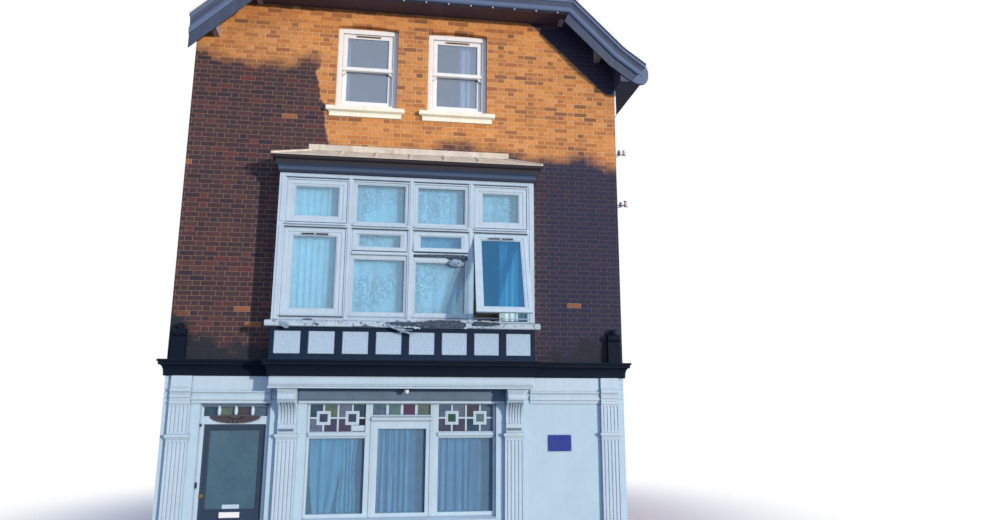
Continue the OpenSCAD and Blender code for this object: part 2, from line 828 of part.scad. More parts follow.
module bay_base() {
    color(black) on_front() difference() {
        union() {
            block([-bay_w / 2, bay_w / 2], [-bay_out, -bay_out + base_t], [beam_top_z, bay_sill_z]);
            for (side = [0, 1]) mirror([side, 0, 0])
                block([bay_w / 2 - base_t, bay_w / 2], [-bay_out + base_t, 0], [beam_top_z, bay_sill_z]);
        }
        panel_places() translate([0, -bay_out - 1, 0]) cube([panel_w, base_t + 2, panel_h]);
    }
}

module bay_panels() {
    color("whitesmoke") on_front() panel_places()
        translate([0, -bay_out + 15, 0]) cube([panel_w, base_t - 15, panel_h]);
}

bay_eave_side = bay_w / 2 + 130;
bay_eave_out = bay_out + 130;
bay_path = [[-bay_w / 2, 0], [-bay_w / 2, -bay_out], [bay_w / 2, -bay_out], [bay_w / 2, 0]];
fascia_foot_z = bay_head_z;

// Black fascia: a bed mould, a board and a crown mould, returned to the wall at both ends
fascia_profile = concat(
    [[-60, fascia_foot_z], [26, fascia_foot_z]],
    [for (a = [0 : 15 : 90]) [60 - 34 * cos(a), fascia_foot_z + 60 + 50 * sin(a)]],
    [[70, fascia_foot_z + 122], [70, bay_fascia_z - 60]],
    [for (a = [0 : 15 : 90]) [70 + 50 * sin(a), bay_fascia_z - 10 - 46 * cos(a)]],
    [[130, bay_fascia_z - 10], [130, bay_fascia_z], [-60, bay_fascia_z]]);

module bay_fascia() {
    color(black) on_front() mitred_run(bay_path, fascia_profile);
}

// Low lead roof with hips that run up to the wall at 45 degrees in plan
lead_edge = 12;
lead_eave_z = bay_fascia_z + lead_edge;
lead_top_x = bay_eave_side - bay_eave_out;
flashing_t = 12;
roll_n = 5;

module lead_slopes() {
    intersection() {
        sideways([-bay_eave_side, bay_eave_side])
            polygon([[0, bay_fascia_z], [0, bay_roof_z], [-bay_eave_out, lead_eave_z],
                     [-bay_eave_out, bay_fascia_z]]);
        upright([-bay_eave_out, 0])
            polygon([[-bay_eave_side, bay_fascia_z], [-bay_eave_side, lead_eave_z], [-lead_top_x, bay_roof_z],
                     [lead_top_x, bay_roof_z], [bay_eave_side, lead_eave_z], [bay_eave_side, bay_fascia_z]]);
    }
}

// Rolls over the joints of the sheets and over the hips, stopped at the flashing on the wall
module lead_rolls() {
    intersection() {
        union() {
            for (i = [0 : roll_n - 1]) {
                x = (i - (roll_n - 1) / 2) * roll_pitch;
                rod([x, -bay_eave_out, lead_eave_z], [x, 0, bay_roof_z], roll_r);
            }
            for (side = [1, -1])
                rod([side * bay_eave_side, -bay_eave_out, lead_eave_z], [side * lead_top_x, 0, bay_roof_z],
                    roll_r);
        }
        block([-bay_eave_side, bay_eave_side], [-bay_eave_out, -flashing_t - 2],
              [bay_fascia_z, bay_roof_z + 2 * roll_r]);
    }
}

module bay_roof() {
    color("silver") on_front() {
        lead_slopes();
        lead_rolls();
    }
}

module bay_flashing() {
    color("lightgray") on_front()
        block([-lead_top_x - 40, lead_top_x + 40], [-flashing_t, 0], [bay_roof_z, bay_roof_z + flashing_h]);
}

// Shop front

cornice_path = [
    [-half_w, wall_t / 2], [-half_w, 0], [-board_w / 2, 0], [-board_w / 2, -board_out],
    [board_w / 2, -board_out], [board_w / 2, 0], [half_w, 0], [half_w, wall_t / 2]];

// Black cornice: a bed mould, a deep wave and a square edge
cornice_profile = concat(
    [[0, cornice_z], [30, cornice_z]],
    [for (a = [0 : 15 : 90])
        [30 + (cornice_out - 60) * (1 - cos(a)), cornice_z + 30 + (cornice_h - 110) * sin(a)]],
    [[cornice_out - 18, cornice_z + cornice_h - 80], [cornice_out - 18, cornice_z + cornice_h - 52]],
    [for (a = [0 : 22.5 : 90]) [cornice_out - 18 * cos(a), cornice_z + cornice_h - 52 + 22 * sin(a)]],
    [[cornice_out, cornice_z + cornice_h - 6], [cornice_out - 6, cornice_z + cornice_h],
     [0, cornice_z + cornice_h]]);

cornice_board_t = 20;

// Boards behind the mouldings, which carry them round the corners and over the name board
module cornice_boards() {
    face = [for (i = [0 : 7]) mitre(cornice_path, i, cornice_board_t)];
    back = [for (i = [7, 6, 1, 0]) cornice_path[i]];
    translate([0, 0, cornice_z]) linear_extrude(cornice_h) polygon(concat(face, back));
}

module shop_cornice() {
    color(black) on_front() intersection() {
        union() {
            mitred_run(cornice_path, cornice_profile);
            cornice_boards();
        }
        block([-half_w - cornice_out, half_w + cornice_out], [-board_out - 2 * cornice_out, wall_t / 2],
              [cornice_z, cornice_z + cornice_h]);
    }
}

finial_w = 190;
finial_x = half_w - 160;
finial_h = 430;
finial_d = 100;
ball_r = 60;

// Scrolled block with a ball, standing on each end of the cornice
module cornice_finials() {
    color(black) on_front() for (x = [-finial_x, finial_x]) translate([x, 0, beam_top_z]) {
        sideways([-finial_w / 2, finial_w / 2]) difference() {
            union() {
                polygon([[0, 0], [0, finial_h], [-finial_d / 2, finial_h],
                         [-0.8 * finial_d, finial_h - finial_d], [-finial_d, 1.3 * finial_d], [-finial_d, 0]]);
                translate([-ball_r, finial_h - 0.5 * finial_d]) circle(r = ball_r);
            }
            translate([-1.7 * finial_d, 2.5 * finial_d]) circle(r = 0.75 * finial_d);
        }
        translate([0, -ball_r, finial_h + 0.6 * ball_r]) sphere(r = ball_r);
    }
}

pilasters_at = [-end_pilaster_x, -pilaster_x, pilaster_x, end_pilaster_x];
frieze_out = 30;
frieze_deep = 44;

// Mouldings across the foot of the frieze
frieze_profile = [
    [0, shop_head_z], [18, shop_head_z], [18, shop_head_z + 40], [34, shop_head_z + 52],
    [34, shop_head_z + 100], [20, shop_head_z + 112], [20, shop_head_z + 140], [frieze_deep, shop_head_z + 160],
    [frieze_deep, shop_head_z + 178], [frieze_out - 8, shop_head_z + 190], [frieze_out - 8, cornice_z],
    [0, cornice_z]];

module shop_frieze() {
    color(white) on_front() {
        mitred_run([[pilasters_at[0] + pilaster_w / 2, 0], [-board_w / 2, 0]], frieze_profile);
        mitred_run([[board_w / 2, 0], [pilasters_at[3] - pilaster_w / 2, 0]], frieze_profile);
    }
}

board_foot_z = cornice_z - board_h;
bead_h = 24;

// Projecting name board with a bead along its foot, and the recessed board between the consoles
module name_board() {
    recess_x = pilaster_x - console_w / 2 - 10;
    color(white) on_front() {
        block([-board_w / 2, board_w / 2], [-board_out, 0], [board_foot_z, cornice_z]);
        mitred_run([[-board_w / 2, -frieze_deep], [-board_w / 2, -board_out], [board_w / 2, -board_out],
                    [board_w / 2, -frieze_deep]],
                   [[-1, board_foot_z], [-1, board_foot_z + bead_h], [10, board_foot_z + bead_h],
                    [10, board_foot_z]]);
        block([-recess_x, recess_x], [-25, 0], [shop_head_z, board_foot_z]);
    }
}

flute_n = 5;
flute_r = 14;

// Upright hollow with round ends
module flute(z0, z1) {
    translate([0, 0, z0]) sphere(r = flute_r);
    translate([0, 0, z1]) sphere(r = flute_r);
    translate([0, 0, z0]) cylinder(r = flute_r, h = z1 - z0);
}

module flutes(z0, z1, out) {
    for (i = [0 : flute_n - 1])
        translate([(i - (flute_n - 1) / 2) * (pilaster_w - 60) / (flute_n - 1), -out - 4, 0]) flute(z0, z1);
}

module band(w, out, z0, z1) {
    block([-w / 2, w / 2], [-out, 0], [z0, z1]);
}

plinth_h = 320;

module pilaster_shaft() {
    difference() {
        union() {
            band(pilaster_w + 40, pilaster_out + 20, 0, plinth_h);
            band(pilaster_w, pilaster_out, plinth_h, cap_z - 60);
            band(pilaster_w + 20, pilaster_out + 12, cap_z - 60, cap_z - 35);
            band(pilaster_w + 44, pilaster_out + 26, cap_z - 35, cap_z);
        }
        flutes(plinth_h + 90, cap_z - 110, pilaster_out);
    }
}

// Upper part of an end pilaster: flutes, then three bands up to the cornice
module pilaster_head() {
    difference() {
        union() {
            band(pilaster_w, pilaster_out, cap_z, cornice_z);
            for (rise = [low_band_rise, mid_band_rise])
                band(pilaster_w, pilaster_out + 14, cap_z + rise, cap_z + rise + head_band_h);
            band(pilaster_w, pilaster_out + 24, cap_z + top_band_rise, cap_z + top_band_rise + top_band_h);
        }
        flutes(cap_z + 40, cap_z + low_band_rise - 40, pilaster_out);
    }
}

module pilasters() {
    color(white) on_front() for (i = [0 : 3]) translate([pilasters_at[i], 0, 0]) {
        pilaster_shaft();
        if (i == 0 || i == 3) pilaster_head();
    }
}

console_out = board_out - 50;
console_top_z = board_foot_z;

console_roll_r = 60;
console_hollow_r = 230;
console_flute_d = 10;

// Hollow of radius r in the front of a console, from x0 to x1
module console_hollow(x, r) {
    sideways(x) translate([-console_out - 40, console_top_z - 420]) circle(r = r);
}

// Scrolled console under the name board, hollow and fluted in front and rolled at its top
module consoles() {
    flute_pitch = (console_w - 40) / flute_n;
    color(white) on_front() for (x = [-pilaster_x, pilaster_x]) translate([x, 0, 0]) {
        difference() {
            sideways([-console_w / 2, console_w / 2]) {
                polygon([[0, cap_z], [0, console_top_z], [-console_out, console_top_z],
                         [-console_out, console_top_z - 110], [-pilaster_out - 10, cap_z + 130],
                         [-pilaster_out - 10, cap_z]]);
                translate([-console_out + console_roll_r, console_top_z - 120]) circle(r = console_roll_r);
            }
            console_hollow([-console_w / 2 - 1, console_w / 2 + 1], console_hollow_r);
            for (i = [0 : flute_n - 1]) {
                middle = (i - (flute_n - 1) / 2) * flute_pitch;
                console_hollow([middle - console_flute_w / 2, middle + console_flute_w / 2],
                               console_hollow_r + console_flute_d);
            }
        }
        band(console_w + 20, console_out + 8, console_top_z - 30, console_top_z);
        band(console_w - 30, pilaster_out + 22, cap_z + 40, cap_z + 80);
    }
}

// Shop window

shop_y = [shop_reveal, shop_reveal + shop_frame_d];
shop_post = 40;
shop_mullion = 72;
shop_rail = 95;
shop_transom_foot = shop_transom_z - shop_rail;
mid_shift = -10;
mid_left = -mid_light_w / 2 + mid_shift;
mid_right = mid_light_w / 2 + mid_shift;
mid_stile = 112;
mid_head_z = shop_transom_z + 40;
mid_bar_z = shop_head_z - 168;
side_lights = [
    [window_left + shop_post, mid_left - shop_mullion], [mid_right + shop_mullion, window_right - shop_post]];
mid_light = [mid_left + mid_stile, mid_right - mid_stile];
mid_toplight = [mid_left + 30, mid_right - 50];
light_foot_z = shop_sill_z + 60;
toplight_top_z = shop_head_z - 15;

module pane(x, z0, z1) {
    translate([x[0], z0]) square([x[1] - x[0], z1 - z0]);
}

// Every light of the shop window: two at the sides with toplights, one in the middle
module shop_lights() {
    for (x = side_lights) {
        pane(x, light_foot_z, shop_transom_foot);
        pane(x, shop_transom_z, toplight_top_z);
    }
    pane(mid_light, light_foot_z, mid_head_z);
    pane(mid_toplight, mid_bar_z, toplight_top_z);
}

module shop_frame() {
    color(white) on_front() upright(shop_y) difference() {
        translate([window_left, shop_sill_z]) square([shop_w, shop_head_z - shop_sill_z]);
        shop_lights();
    }
}

lead_w = 26;
lead_t = 20;

// Square within a panel, joined to the middle of each side of the panel by a bar
module toplight_motif(w, h) {
    s = 150;
    difference() {
        translate([(w - s) / 2 - lead_w, (h - s) / 2 - lead_w]) square(s + 2 * lead_w);
        translate([(w - s) / 2, (h - s) / 2]) square(s);
    }
    translate([0, (h - lead_w) / 2]) square([(w - s) / 2 - lead_w, lead_w]);
    translate([(w + s) / 2 + lead_w, (h - lead_w) / 2]) square([(w - s) / 2 - lead_w, lead_w]);
    translate([(w - lead_w) / 2, 0]) square([lead_w, (h - s) / 2 - lead_w]);
    translate([(w - lead_w) / 2, (h + s) / 2 + lead_w]) square([lead_w, (h - s) / 2 - lead_w]);
}

module toplight_bars(x) {
    h = toplight_top_z - shop_transom_z;
    w = (x[1] - x[0] - lead_w) / 2;
    translate([x[0], shop_transom_z]) {
        toplight_motif(w, h);
        translate([w, 0]) square([lead_w, h]);
        translate([w + lead_w, 0]) toplight_motif(w, h);
    }
}

module shop_toplights() {
    color(white) on_front() upright([shop_y[0] + 20, shop_y[0] + 20 + lead_t]) {
        for (x = side_lights) toplight_bars(x);
        w = mid_toplight[1] - mid_toplight[0];
        for (i = [1 : 3]) {
            x = mid_toplight[0] + i * w / 4;
            pane([x - 20, x + 20], mid_bar_z, toplight_top_z);
        }
    }
}

fan_foot_z = step_h + door_h + 2 * door_gap + shell_h;
door_y = door_reveal;

module shop_glass() {
    y = shop_y[0] + 20 + lead_t;
    color("lightblue") on_front() {
        upright([y, y + glass_t]) shop_lights();
        upright([door_y + 30, door_y + 30 + glass_t]) fan_lights();
    }
}

module shop_sill() {
    color(white) on_front() sideways([window_left, window_right])
        polygon([[shop_y[1], shop_sill_z - shop_sill_h], [shop_y[1], shop_sill_z], [shop_y[0], shop_sill_z],
                 [-70, shop_sill_z - 25], [-70, shop_sill_z - shop_sill_h + 15],
                 [-55, shop_sill_z - shop_sill_h]]);
}

// Panelled wall under the shop window
module stall_riser() {
    top_z = shop_sill_z - shop_sill_h;
    color(white) on_front() difference() {
        block([window_left, window_right], [0, wall_t], [0, top_z]);
        for (i = [0 : 2])
            translate([window_left + 80 + i * (shop_w - 80) / 3, -1, 160])
                cube([(shop_w - 80) / 3 - 80, 26, top_z - 260]);
    }
}

// Door

leaf_left = door_x - door_w / 2;
leaf_right = door_x + door_w / 2;
leaf_foot = step_h + door_gap;
leaf_top = leaf_foot + door_h;
leaf_y = door_y + 40;
frame_d = leaf_y + door_t - door_y;
stop_d = leaf_y - door_gap - door_y;
stop_w = 14;
fan_bar = 40;
fan_in = [door_left + door_post, door_right - door_post];

// The four small lights over the door
module fan_lights() {
    w = (fan_in[1] - fan_in[0] - 3 * fan_bar) / 4;
    for (i = [0 : 3])
        translate([fan_in[0] + i * (w + fan_bar), fan_foot_z]) square([w, fan_h]);
}

// Frame round the leaf and the small lights, drawn with the doorway made narrower by a stop
module door_frame_shape(stop) {
    difference() {
        pane([door_left, door_right], step_h, shop_head_z);
        pane([fan_in[0] + stop, fan_in[1] - stop], step_h - 1, leaf_top + door_gap - stop);
        fan_lights();
    }
}

module door_frame() {
    color(white) on_front() {
        upright([door_y, door_y + frame_d]) door_frame_shape(0);
        upright([door_y, door_y + stop_d]) door_frame_shape(stop_w);
    }
}

shell_w = 700;
shell_ribs = 13;
function on_shell(a, k) = [k * shell_w / 2 * cos(a), k * shell_h * sin(a)];

// Ribbed half oval on the transom: a plate with a fan of raised ribs and a boss where they meet
module shell_hood() {
    step = 180 / shell_ribs;
    color("saddlebrown") on_front() translate([door_x, door_y, fan_foot_z]) {
        upright([-18, 0]) polygon([for (a = [180 : 7.5 : 360]) on_shell(a, 1)]);
        for (i = [0 : shell_ribs - 1]) {
            a = 180 + (i + 0.5) * step;
            upright([-34, -18])
                polygon([on_shell(a - 0.14 * step, 0.3), on_shell(a - 0.36 * step, 0.96),
                         on_shell(a + 0.36 * step, 0.96), on_shell(a + 0.14 * step, 0.3)]);
        }
        upright([-42, -18]) polygon([for (a = [180 : 15 : 360]) on_shell(a, 0.22)]);
    }
}

stile_w = 82;
mid_rail_z = leaf_foot + lock_rail_rise;
knob_z = mid_rail_z + 260;
mid_rail_h = 130;
bottom_rail_h = 210;

module door_leaf() {
    color("darkslateblue") on_front() upright([leaf_y, leaf_y + door_t]) difference() {
        translate([leaf_left, leaf_foot]) square([door_w, door_h]);
        translate([leaf_left + stile_w, mid_rail_z + mid_rail_h / 2])
            square([door_w - 2 * stile_w, leaf_top - stile_w - mid_rail_z - mid_rail_h / 2]);
        translate([leaf_left + stile_w, leaf_foot + bottom_rail_h])
            square([door_w - 2 * stile_w, mid_rail_z - mid_rail_h / 2 - leaf_foot - bottom_rail_h]);
    }
}

module door_panes() {
    color("slategray") on_front() upright([leaf_y + 14, leaf_y + door_t - 14]) {
        translate([leaf_left + stile_w, mid_rail_z + mid_rail_h / 2])
            square([door_w - 2 * stile_w, leaf_top - stile_w - mid_rail_z - mid_rail_h / 2]);
        translate([leaf_left + stile_w, leaf_foot + bottom_rail_h])
            square([door_w - 2 * stile_w, mid_rail_z - mid_rail_h / 2 - leaf_foot - bottom_rail_h]);
    }
}

// Letter plate on the middle rail and a pull knob on the lock stile
module door_furniture() {
    color("gold") on_front() {
        block([door_x - 125, door_x + 125], [leaf_y - 6, leaf_y], [mid_rail_z - 32, mid_rail_z + 32]);
        translate([leaf_left + stile_w / 2, leaf_y, knob_z]) rotate([90, 0, 0]) {
            cylinder(r = 24, h = 5);
            cylinder(r = 9, h = 34);
            translate([0, 0, 34]) cylinder(r1 = 16, r2 = 22, h = 14);
        }
    }
}

hinge_x = leaf_right + door_gap / 2;
hinge_y = leaf_y + door_t + knuckle_r;
hinge_h = 100;
hinges_at = [leaf_foot + 160, leaf_foot + door_h / 2, leaf_top - 160];
pin_r = 4;
hinge_play = 0.3;
plate_t = 3;

// Middle knuckle of each hinge, with its plate on the inner face of the leaf
module door_knuckles() {
    color("silver") on_front() for (z = hinges_at) translate([hinge_x, hinge_y, z]) difference() {
        union() {
            translate([0, 0, -hinge_h / 6]) cylinder(r = knuckle_r, h = hinge_h / 3);
            block([-40, 0], [-knuckle_r, -knuckle_r + plate_t], [-hinge_h / 6, hinge_h / 6]);
        }
        translate([0, 0, -hinge_h]) cylinder(r = pin_r + hinge_play, h = 2 * hinge_h);
    }
}

// Pin and outer knuckles of each hinge, with plates on the post
module hinge_pins() {
    knuckle_h = hinge_h / 3 - hinge_play;
    color("silver") on_front() for (z = hinges_at) translate([hinge_x, hinge_y, z]) {
        translate([0, 0, -hinge_h / 2]) cylinder(r = pin_r, h = hinge_h);
        for (end = [0, 1]) mirror([0, 0, end]) translate([0, 0, hinge_h / 6 + hinge_play]) {
            cylinder(r = knuckle_r, h = knuckle_h);
            block([0, 40], [-knuckle_r, -knuckle_r + plate_t], [0, knuckle_h]);
        }
    }
}

module door_step() {
    color("gray") on_front() difference() {
        block([door_left, door_right], [-40, wall_t], [0, step_h]);
        block([door_left - 1, door_right + 1], [-41, door_y - 30], [step_h - 15, step_h + 1]);
    }
}

// Two brackets with insulators on the edge of the side wall
module line_brackets() {
    color("lightgray") on_front() for (z = [bay_head_z - 172, bay_roof_z + 213]) translate([half_w, 90, z]) {
        block([0, 8], [-50, 50], [-60, 60]);
        translate([8, 0, 0]) rotate([0, 90, 0]) cylinder(r = 10, h = 170);
        for (x = [90, 165]) translate([x, 0, -45]) {
            cylinder(r = 26, h = 30);
            cylinder(r = 9, h = 100);
            translate([0, 0, 60]) cylinder(r = 30, h = 22);
        }
    }
}

// Curtains, each a plain sheet below its rail

rail_t = 20;
curtain_t = 50;

curtain_back = 8;

// Sheet that fills the share of a rail given by drawn, from 0 at its left to 1 at its right
module sheet(x, y, head_z, foot_z, drawn) {
    w = x[1] - x[0] - 10;
    block([x[0] + 5 + drawn[0] * w, x[0] + 5 + drawn[1] * w], [y + curtain_back, y + curtain_back + curtain_t],
          [foot_z, head_z - rail_t]);
}

module rail_and_sheet(x, y, head_z, foot_z, part, drawn = [0, 1]) {
    if (part == "rail") block(x, [y, y + 2 * rail_t], [head_z - rail_t, head_z]);
    if (part == "sheet") sheet(x, y, head_z, foot_z, drawn);
}

// Curtains of the two sash windows, drawn to the left and to the right
sash_drawn = [[0, 0.16], [0.56, 1]];

module all_curtains(part) {
    bay_y = -bay_out + bay_frame_d;
    bay_rail_z = bay_head_foot - 2;
    on_front() {
        for (i = [0, 1])
            rail_and_sheet([sash_row[i] - sash_inner_w / 2, sash_row[i] + sash_inner_w / 2],
                           sash_reveal + sash_frame_d, sash_z + sash_h - 20, sash_z + 20, part, sash_drawn[i]);
        for (i = [0 : 3]) {
            x = [max(light_left(i) - 10, -bay_in), min(light_right(i) + 10, bay_in)];
            rail_and_sheet(x, bay_y, bay_rail_z, i == 3 ? bay_transom_foot : bay_foot_z + 2, part);
            if (i == 3 && part == "sheet") sheet(x, bay_y, bay_transom_foot + rail_t, bay_foot_z + 2, [0.5, 1]);
        }
        for (x = side_lights)
            rail_and_sheet([x[0] - 10, x[1] + 10], shop_y[1], shop_transom_z - 30, light_foot_z - 30, part);
        rail_and_sheet([mid_light[0] - 10, mid_light[1] + 10], shop_y[1], mid_head_z + 30,
                       light_foot_z - 30, part);
    }
}

module curtain_rails() {
    color(white) all_curtains("rail");
}

module curtains() {
    color("linen") all_curtains("sheet");
}

front_piers();
front_wall_right();
shop_beam();
front_walls_upper();
gable_wall();
gable_piers();
gable_head();
party_wall();
right_wall();
rear_wall();
ground_floor();
first_floor();
second_floor();
roof_left();
roof_right();
roof_half_hips();
ridge_tiles();
bargeboards();
soffits();
side_eave_boards();
side_gutter();
purlin_ends();
window_frames();
window_sashes();
window_glass();
window_sills();
bay_frame();
bay_cheeks();
bay_ceiling();
bay_casements();
bay_glass();
bay_sill();
bay_base();
bay_panels();
bay_fascia();
bay_roof();
bay_flashing();
shop_cornice();
cornice_finials();
shop_frieze();
name_board();
pilasters();
consoles();
shop_frame();
shop_toplights();
shop_glass();
shop_sill();
stall_riser();
door_frame();
shell_hood();
door_leaf();
door_panes();
door_furniture();
door_knuckles();
hinge_pins();
door_step();
line_brackets();
corner_board();
curtain_rails();
curtains();
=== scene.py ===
# %% [markdown]
# A three-storey corner shop: brick above, a painted timber shop front below, an oriel bay
# between them and a half-hipped tile roof. The construction comes in as a fixed frame, in
# metres, with the ground at z = 0 and the street on the -y side. This lesson gives every part
# its finish and adds what is too fine or too soft for the frame, such as tiles and curtains.

# %% Load the frame
import math
import random

import bmesh
import bpy
from mathutils import Matrix, Vector, noise


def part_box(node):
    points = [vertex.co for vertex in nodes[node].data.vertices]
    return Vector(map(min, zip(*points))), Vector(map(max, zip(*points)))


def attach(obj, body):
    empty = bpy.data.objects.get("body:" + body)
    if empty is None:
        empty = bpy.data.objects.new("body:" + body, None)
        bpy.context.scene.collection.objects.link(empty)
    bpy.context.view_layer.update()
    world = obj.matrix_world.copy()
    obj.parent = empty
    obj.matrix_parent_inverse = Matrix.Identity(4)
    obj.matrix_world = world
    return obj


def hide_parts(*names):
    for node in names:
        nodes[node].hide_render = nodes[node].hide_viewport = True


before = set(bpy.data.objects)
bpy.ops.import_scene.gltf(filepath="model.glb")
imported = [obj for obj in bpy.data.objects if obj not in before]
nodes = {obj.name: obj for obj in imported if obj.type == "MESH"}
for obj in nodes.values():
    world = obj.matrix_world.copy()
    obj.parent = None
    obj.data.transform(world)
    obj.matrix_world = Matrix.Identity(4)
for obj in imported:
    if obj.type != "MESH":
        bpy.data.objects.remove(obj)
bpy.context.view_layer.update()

# %% [markdown]
# The camera stands 10.5 m from the front and 2.5 m up, a little left of the middle. It looks up
# by 11 degrees and to the right by 8. Blender could aim a camera with a Track To constraint, but
# a rotation made from the three angles states the view exactly and leaves the lens shift at
# zero, so upright lines lean as they do in the photograph.

# %% Camera
eye = Vector((-0.07, -14.55, 2.5))
yaw, pitch, roll = (math.radians(a) for a in (7.79, 10.98, 0.19))
forward = Vector((math.sin(yaw) * math.cos(pitch), math.cos(yaw) * math.cos(pitch), math.sin(pitch)))
right = Vector((math.cos(yaw), -math.sin(yaw), 0))
up = right.cross(forward)
right, up = (right * math.cos(roll) + up * math.sin(roll), up * math.cos(roll) - right * math.sin(roll))

lens = bpy.data.cameras.new("street_camera")
lens.sensor_width = 36
lens.lens = 24.91
lens.clip_end = 500
camera = bpy.data.objects.new("street_camera", lens)
camera.matrix_world = Matrix((right, up, -forward)).transposed().to_4x4()
camera.location = eye
bpy.context.scene.collection.objects.link(camera)
bpy.context.scene.camera = camera
bpy.context.scene.view_settings.view_transform = "Standard"
print("camera at", tuple(eye), "looks along", tuple(round(v, 3) for v in forward))

# %% [markdown]
# Colours are written as hex values, the way a paint maker's card gives them, and shaders work
# in linear light, so one function turns one into the other. A second one feeds the inputs of a
# node: a socket is linked, and anything else is a value. A third adds a node, with its settings
# first, because they decide which sockets it has, and then its inputs. Nearly every Mix node
# here mixes colours, so that is what it does unless told otherwise.

# %% Helpers for materials
def paint(code):
    """Linear colour of an sRGB hex value such as B85A30."""
    values = [int(code[i:i + 2], 16) / 255 for i in (0, 2, 4)]
    return [v / 12.92 if v <= 0.04045 else ((v + 0.055) / 1.055) ** 2.4 for v in values] + [1]


def feed(tree, node, inputs):
    """Links a socket to each named input of a node, or sets the input to a plain value."""
    for name, value in dict(inputs).items():
        found = node.inputs[name] if isinstance(name, int) else next(
            socket for socket in node.inputs if socket.name == name and socket.enabled)
        if isinstance(value, bpy.types.NodeSocket):
            tree.links.new(value, found)
        else:
            found.default_value = value


def add(tree, kind, inputs=(), **settings):
    """Adds one shader node and returns its first output in use."""
    made = tree.nodes.new("ShaderNode" + kind)
    if kind == "Mix":
        made.data_type = "RGBA"
    for name, value in settings.items():
        setattr(made, name, value)
    feed(tree, made, inputs)
    return next(socket for socket in made.outputs if socket.enabled)


def finish_named(name):
    """A new material with its tree, its Principled shader and the place on the object."""
    material = bpy.data.materials.new(name)
    material.use_nodes = True
    tree = material.node_tree
    return material, tree, tree.nodes["Principled BSDF"], add(tree, "TexCoord").node.outputs["Object"]


def ramp(tree, value, stops):
    """A colour for each value: stops is a list of (place, hex)."""
    band = tree.nodes.new("ShaderNodeValToRGB")
    for _ in stops[2:]:
        band.color_ramp.elements.new(0.5)
    for element, (place, code) in zip(band.color_ramp.elements, stops):
        element.position = place
        element.color = paint(code)
    tree.links.new(value, band.inputs["Fac"])
    return band.outputs["Color"]

# %% [markdown]
# The light is that of a clear winter afternoon. The sun stands only a few degrees high to the
# right of the street, as the shadows show: they lie beside the sills, not below them, and along
# the right-hand verge. A large area lamp would fall off over a house this size; a sun lamp
# doesn't, and its angle of 3 degrees softens the shadow edges a little. The world gives the blue
# light from above. The camera, glass and metal see plain white instead, by way of the Light
# Path node, and the floor, which looks pale, gives back less light than it seems to.

# %% World, sun and floor
world = bpy.data.worlds.new("studio_sky")
bpy.context.scene.world = world
world.use_nodes = True
sky = world.node_tree
sky.nodes.clear()
rays = sky.nodes.new("ShaderNodeLightPath").outputs
seen = add(sky, "Math", {0: rays["Is Camera Ray"], 1: rays["Is Glossy Ray"]}, operation="MAXIMUM")
seen = add(sky, "Math", {0: seen, 1: rays["Is Transmission Ray"]}, operation="MAXIMUM")
ambient = add(sky, "Background", {"Color": paint("C8DAFF"), "Strength": 0.9})
white = add(sky, "Background", {"Color": paint("FFFFFF"), "Strength": 1.0})
shown = add(sky, "MixShader", {0: seen, 1: ambient, 2: white})
sky.links.new(shown, sky.nodes.new("ShaderNodeOutputWorld").inputs["Surface"])

lamp = bpy.data.lights.new("soft_sun", "SUN")
lamp.energy = 3.2
lamp.angle = math.radians(3)
lamp.color = paint("FFF0DC")[:3]
sun = bpy.data.objects.new("soft_sun", lamp)
sun_from = Vector((0.95, -1.0, 0.16))
sun.rotation_euler = sun_from.to_track_quat("Z", "Y").to_euler()
bpy.context.scene.collection.objects.link(sun)

floor_mesh = bpy.data.meshes.new("floor")
REACH = 90
corners = [(-REACH, -REACH, 0), (REACH, -REACH, 0), (REACH, REACH, 0), (-REACH, REACH, 0)]
floor_mesh.from_pydata(corners, [], [(0, 1, 2, 3)])
floor = bpy.data.objects.new("floor", floor_mesh)
bpy.context.scene.collection.objects.link(floor)
pale, tree, shader, place = finish_named("pale_floor")
away = add(tree, "VectorMath", {0: place}, operation="LENGTH").node.outputs["Value"]
fade = add(tree, "MapRange", {"Value": away, "From Min": 4.6, "From Max": 9.5},
           interpolation_type="SMOOTHSTEP")
by_camera = tree.nodes.new("ShaderNodeLightPath").outputs["Is Camera Ray"]
fade = add(tree, "Math", {0: fade, 1: by_camera}, operation="MULTIPLY")
floor_tone = add(tree, "Mix", {"Factor": by_camera, "A": paint("7A7C7E"), "B": paint("E9E9E7")})
feed(tree, shader, {"Base Color": floor_tone, "Roughness": 0.9})
plain = add(tree, "Emission", {"Color": paint("FFFFFF"), "Strength": 1.0})
mixed = add(tree, "MixShader", {0: fade, 1: shader.outputs[0], 2: plain})
feed(tree, tree.nodes["Material Output"], {"Surface": mixed})
floor_mesh.materials.append(pale)
print("sun from", tuple(round(v, 2) for v in sun_from.normalized()))

# %% [markdown]
# The walls are stock bricks in Flemish bond: a long stretcher and a short header take turns in
# each course, and each course is moved on by half of that pair. Blender's Brick Texture can't
# change the width of a brick within a course, so the bond is worked out with a few Math nodes
# from the real sizes: 215 by 65 mm bricks, 102.5 mm wide at the header, and joints of 10 mm,
# drawn at 12 mm so that they show from across the street. The same nodes give each brick its
# own number, and a White Noise node turns that number into its colour.

# %% Brickwork
COURSE = 0.075
STRETCHER = 0.225
HEADER = 0.1125
JOINT = 0.012

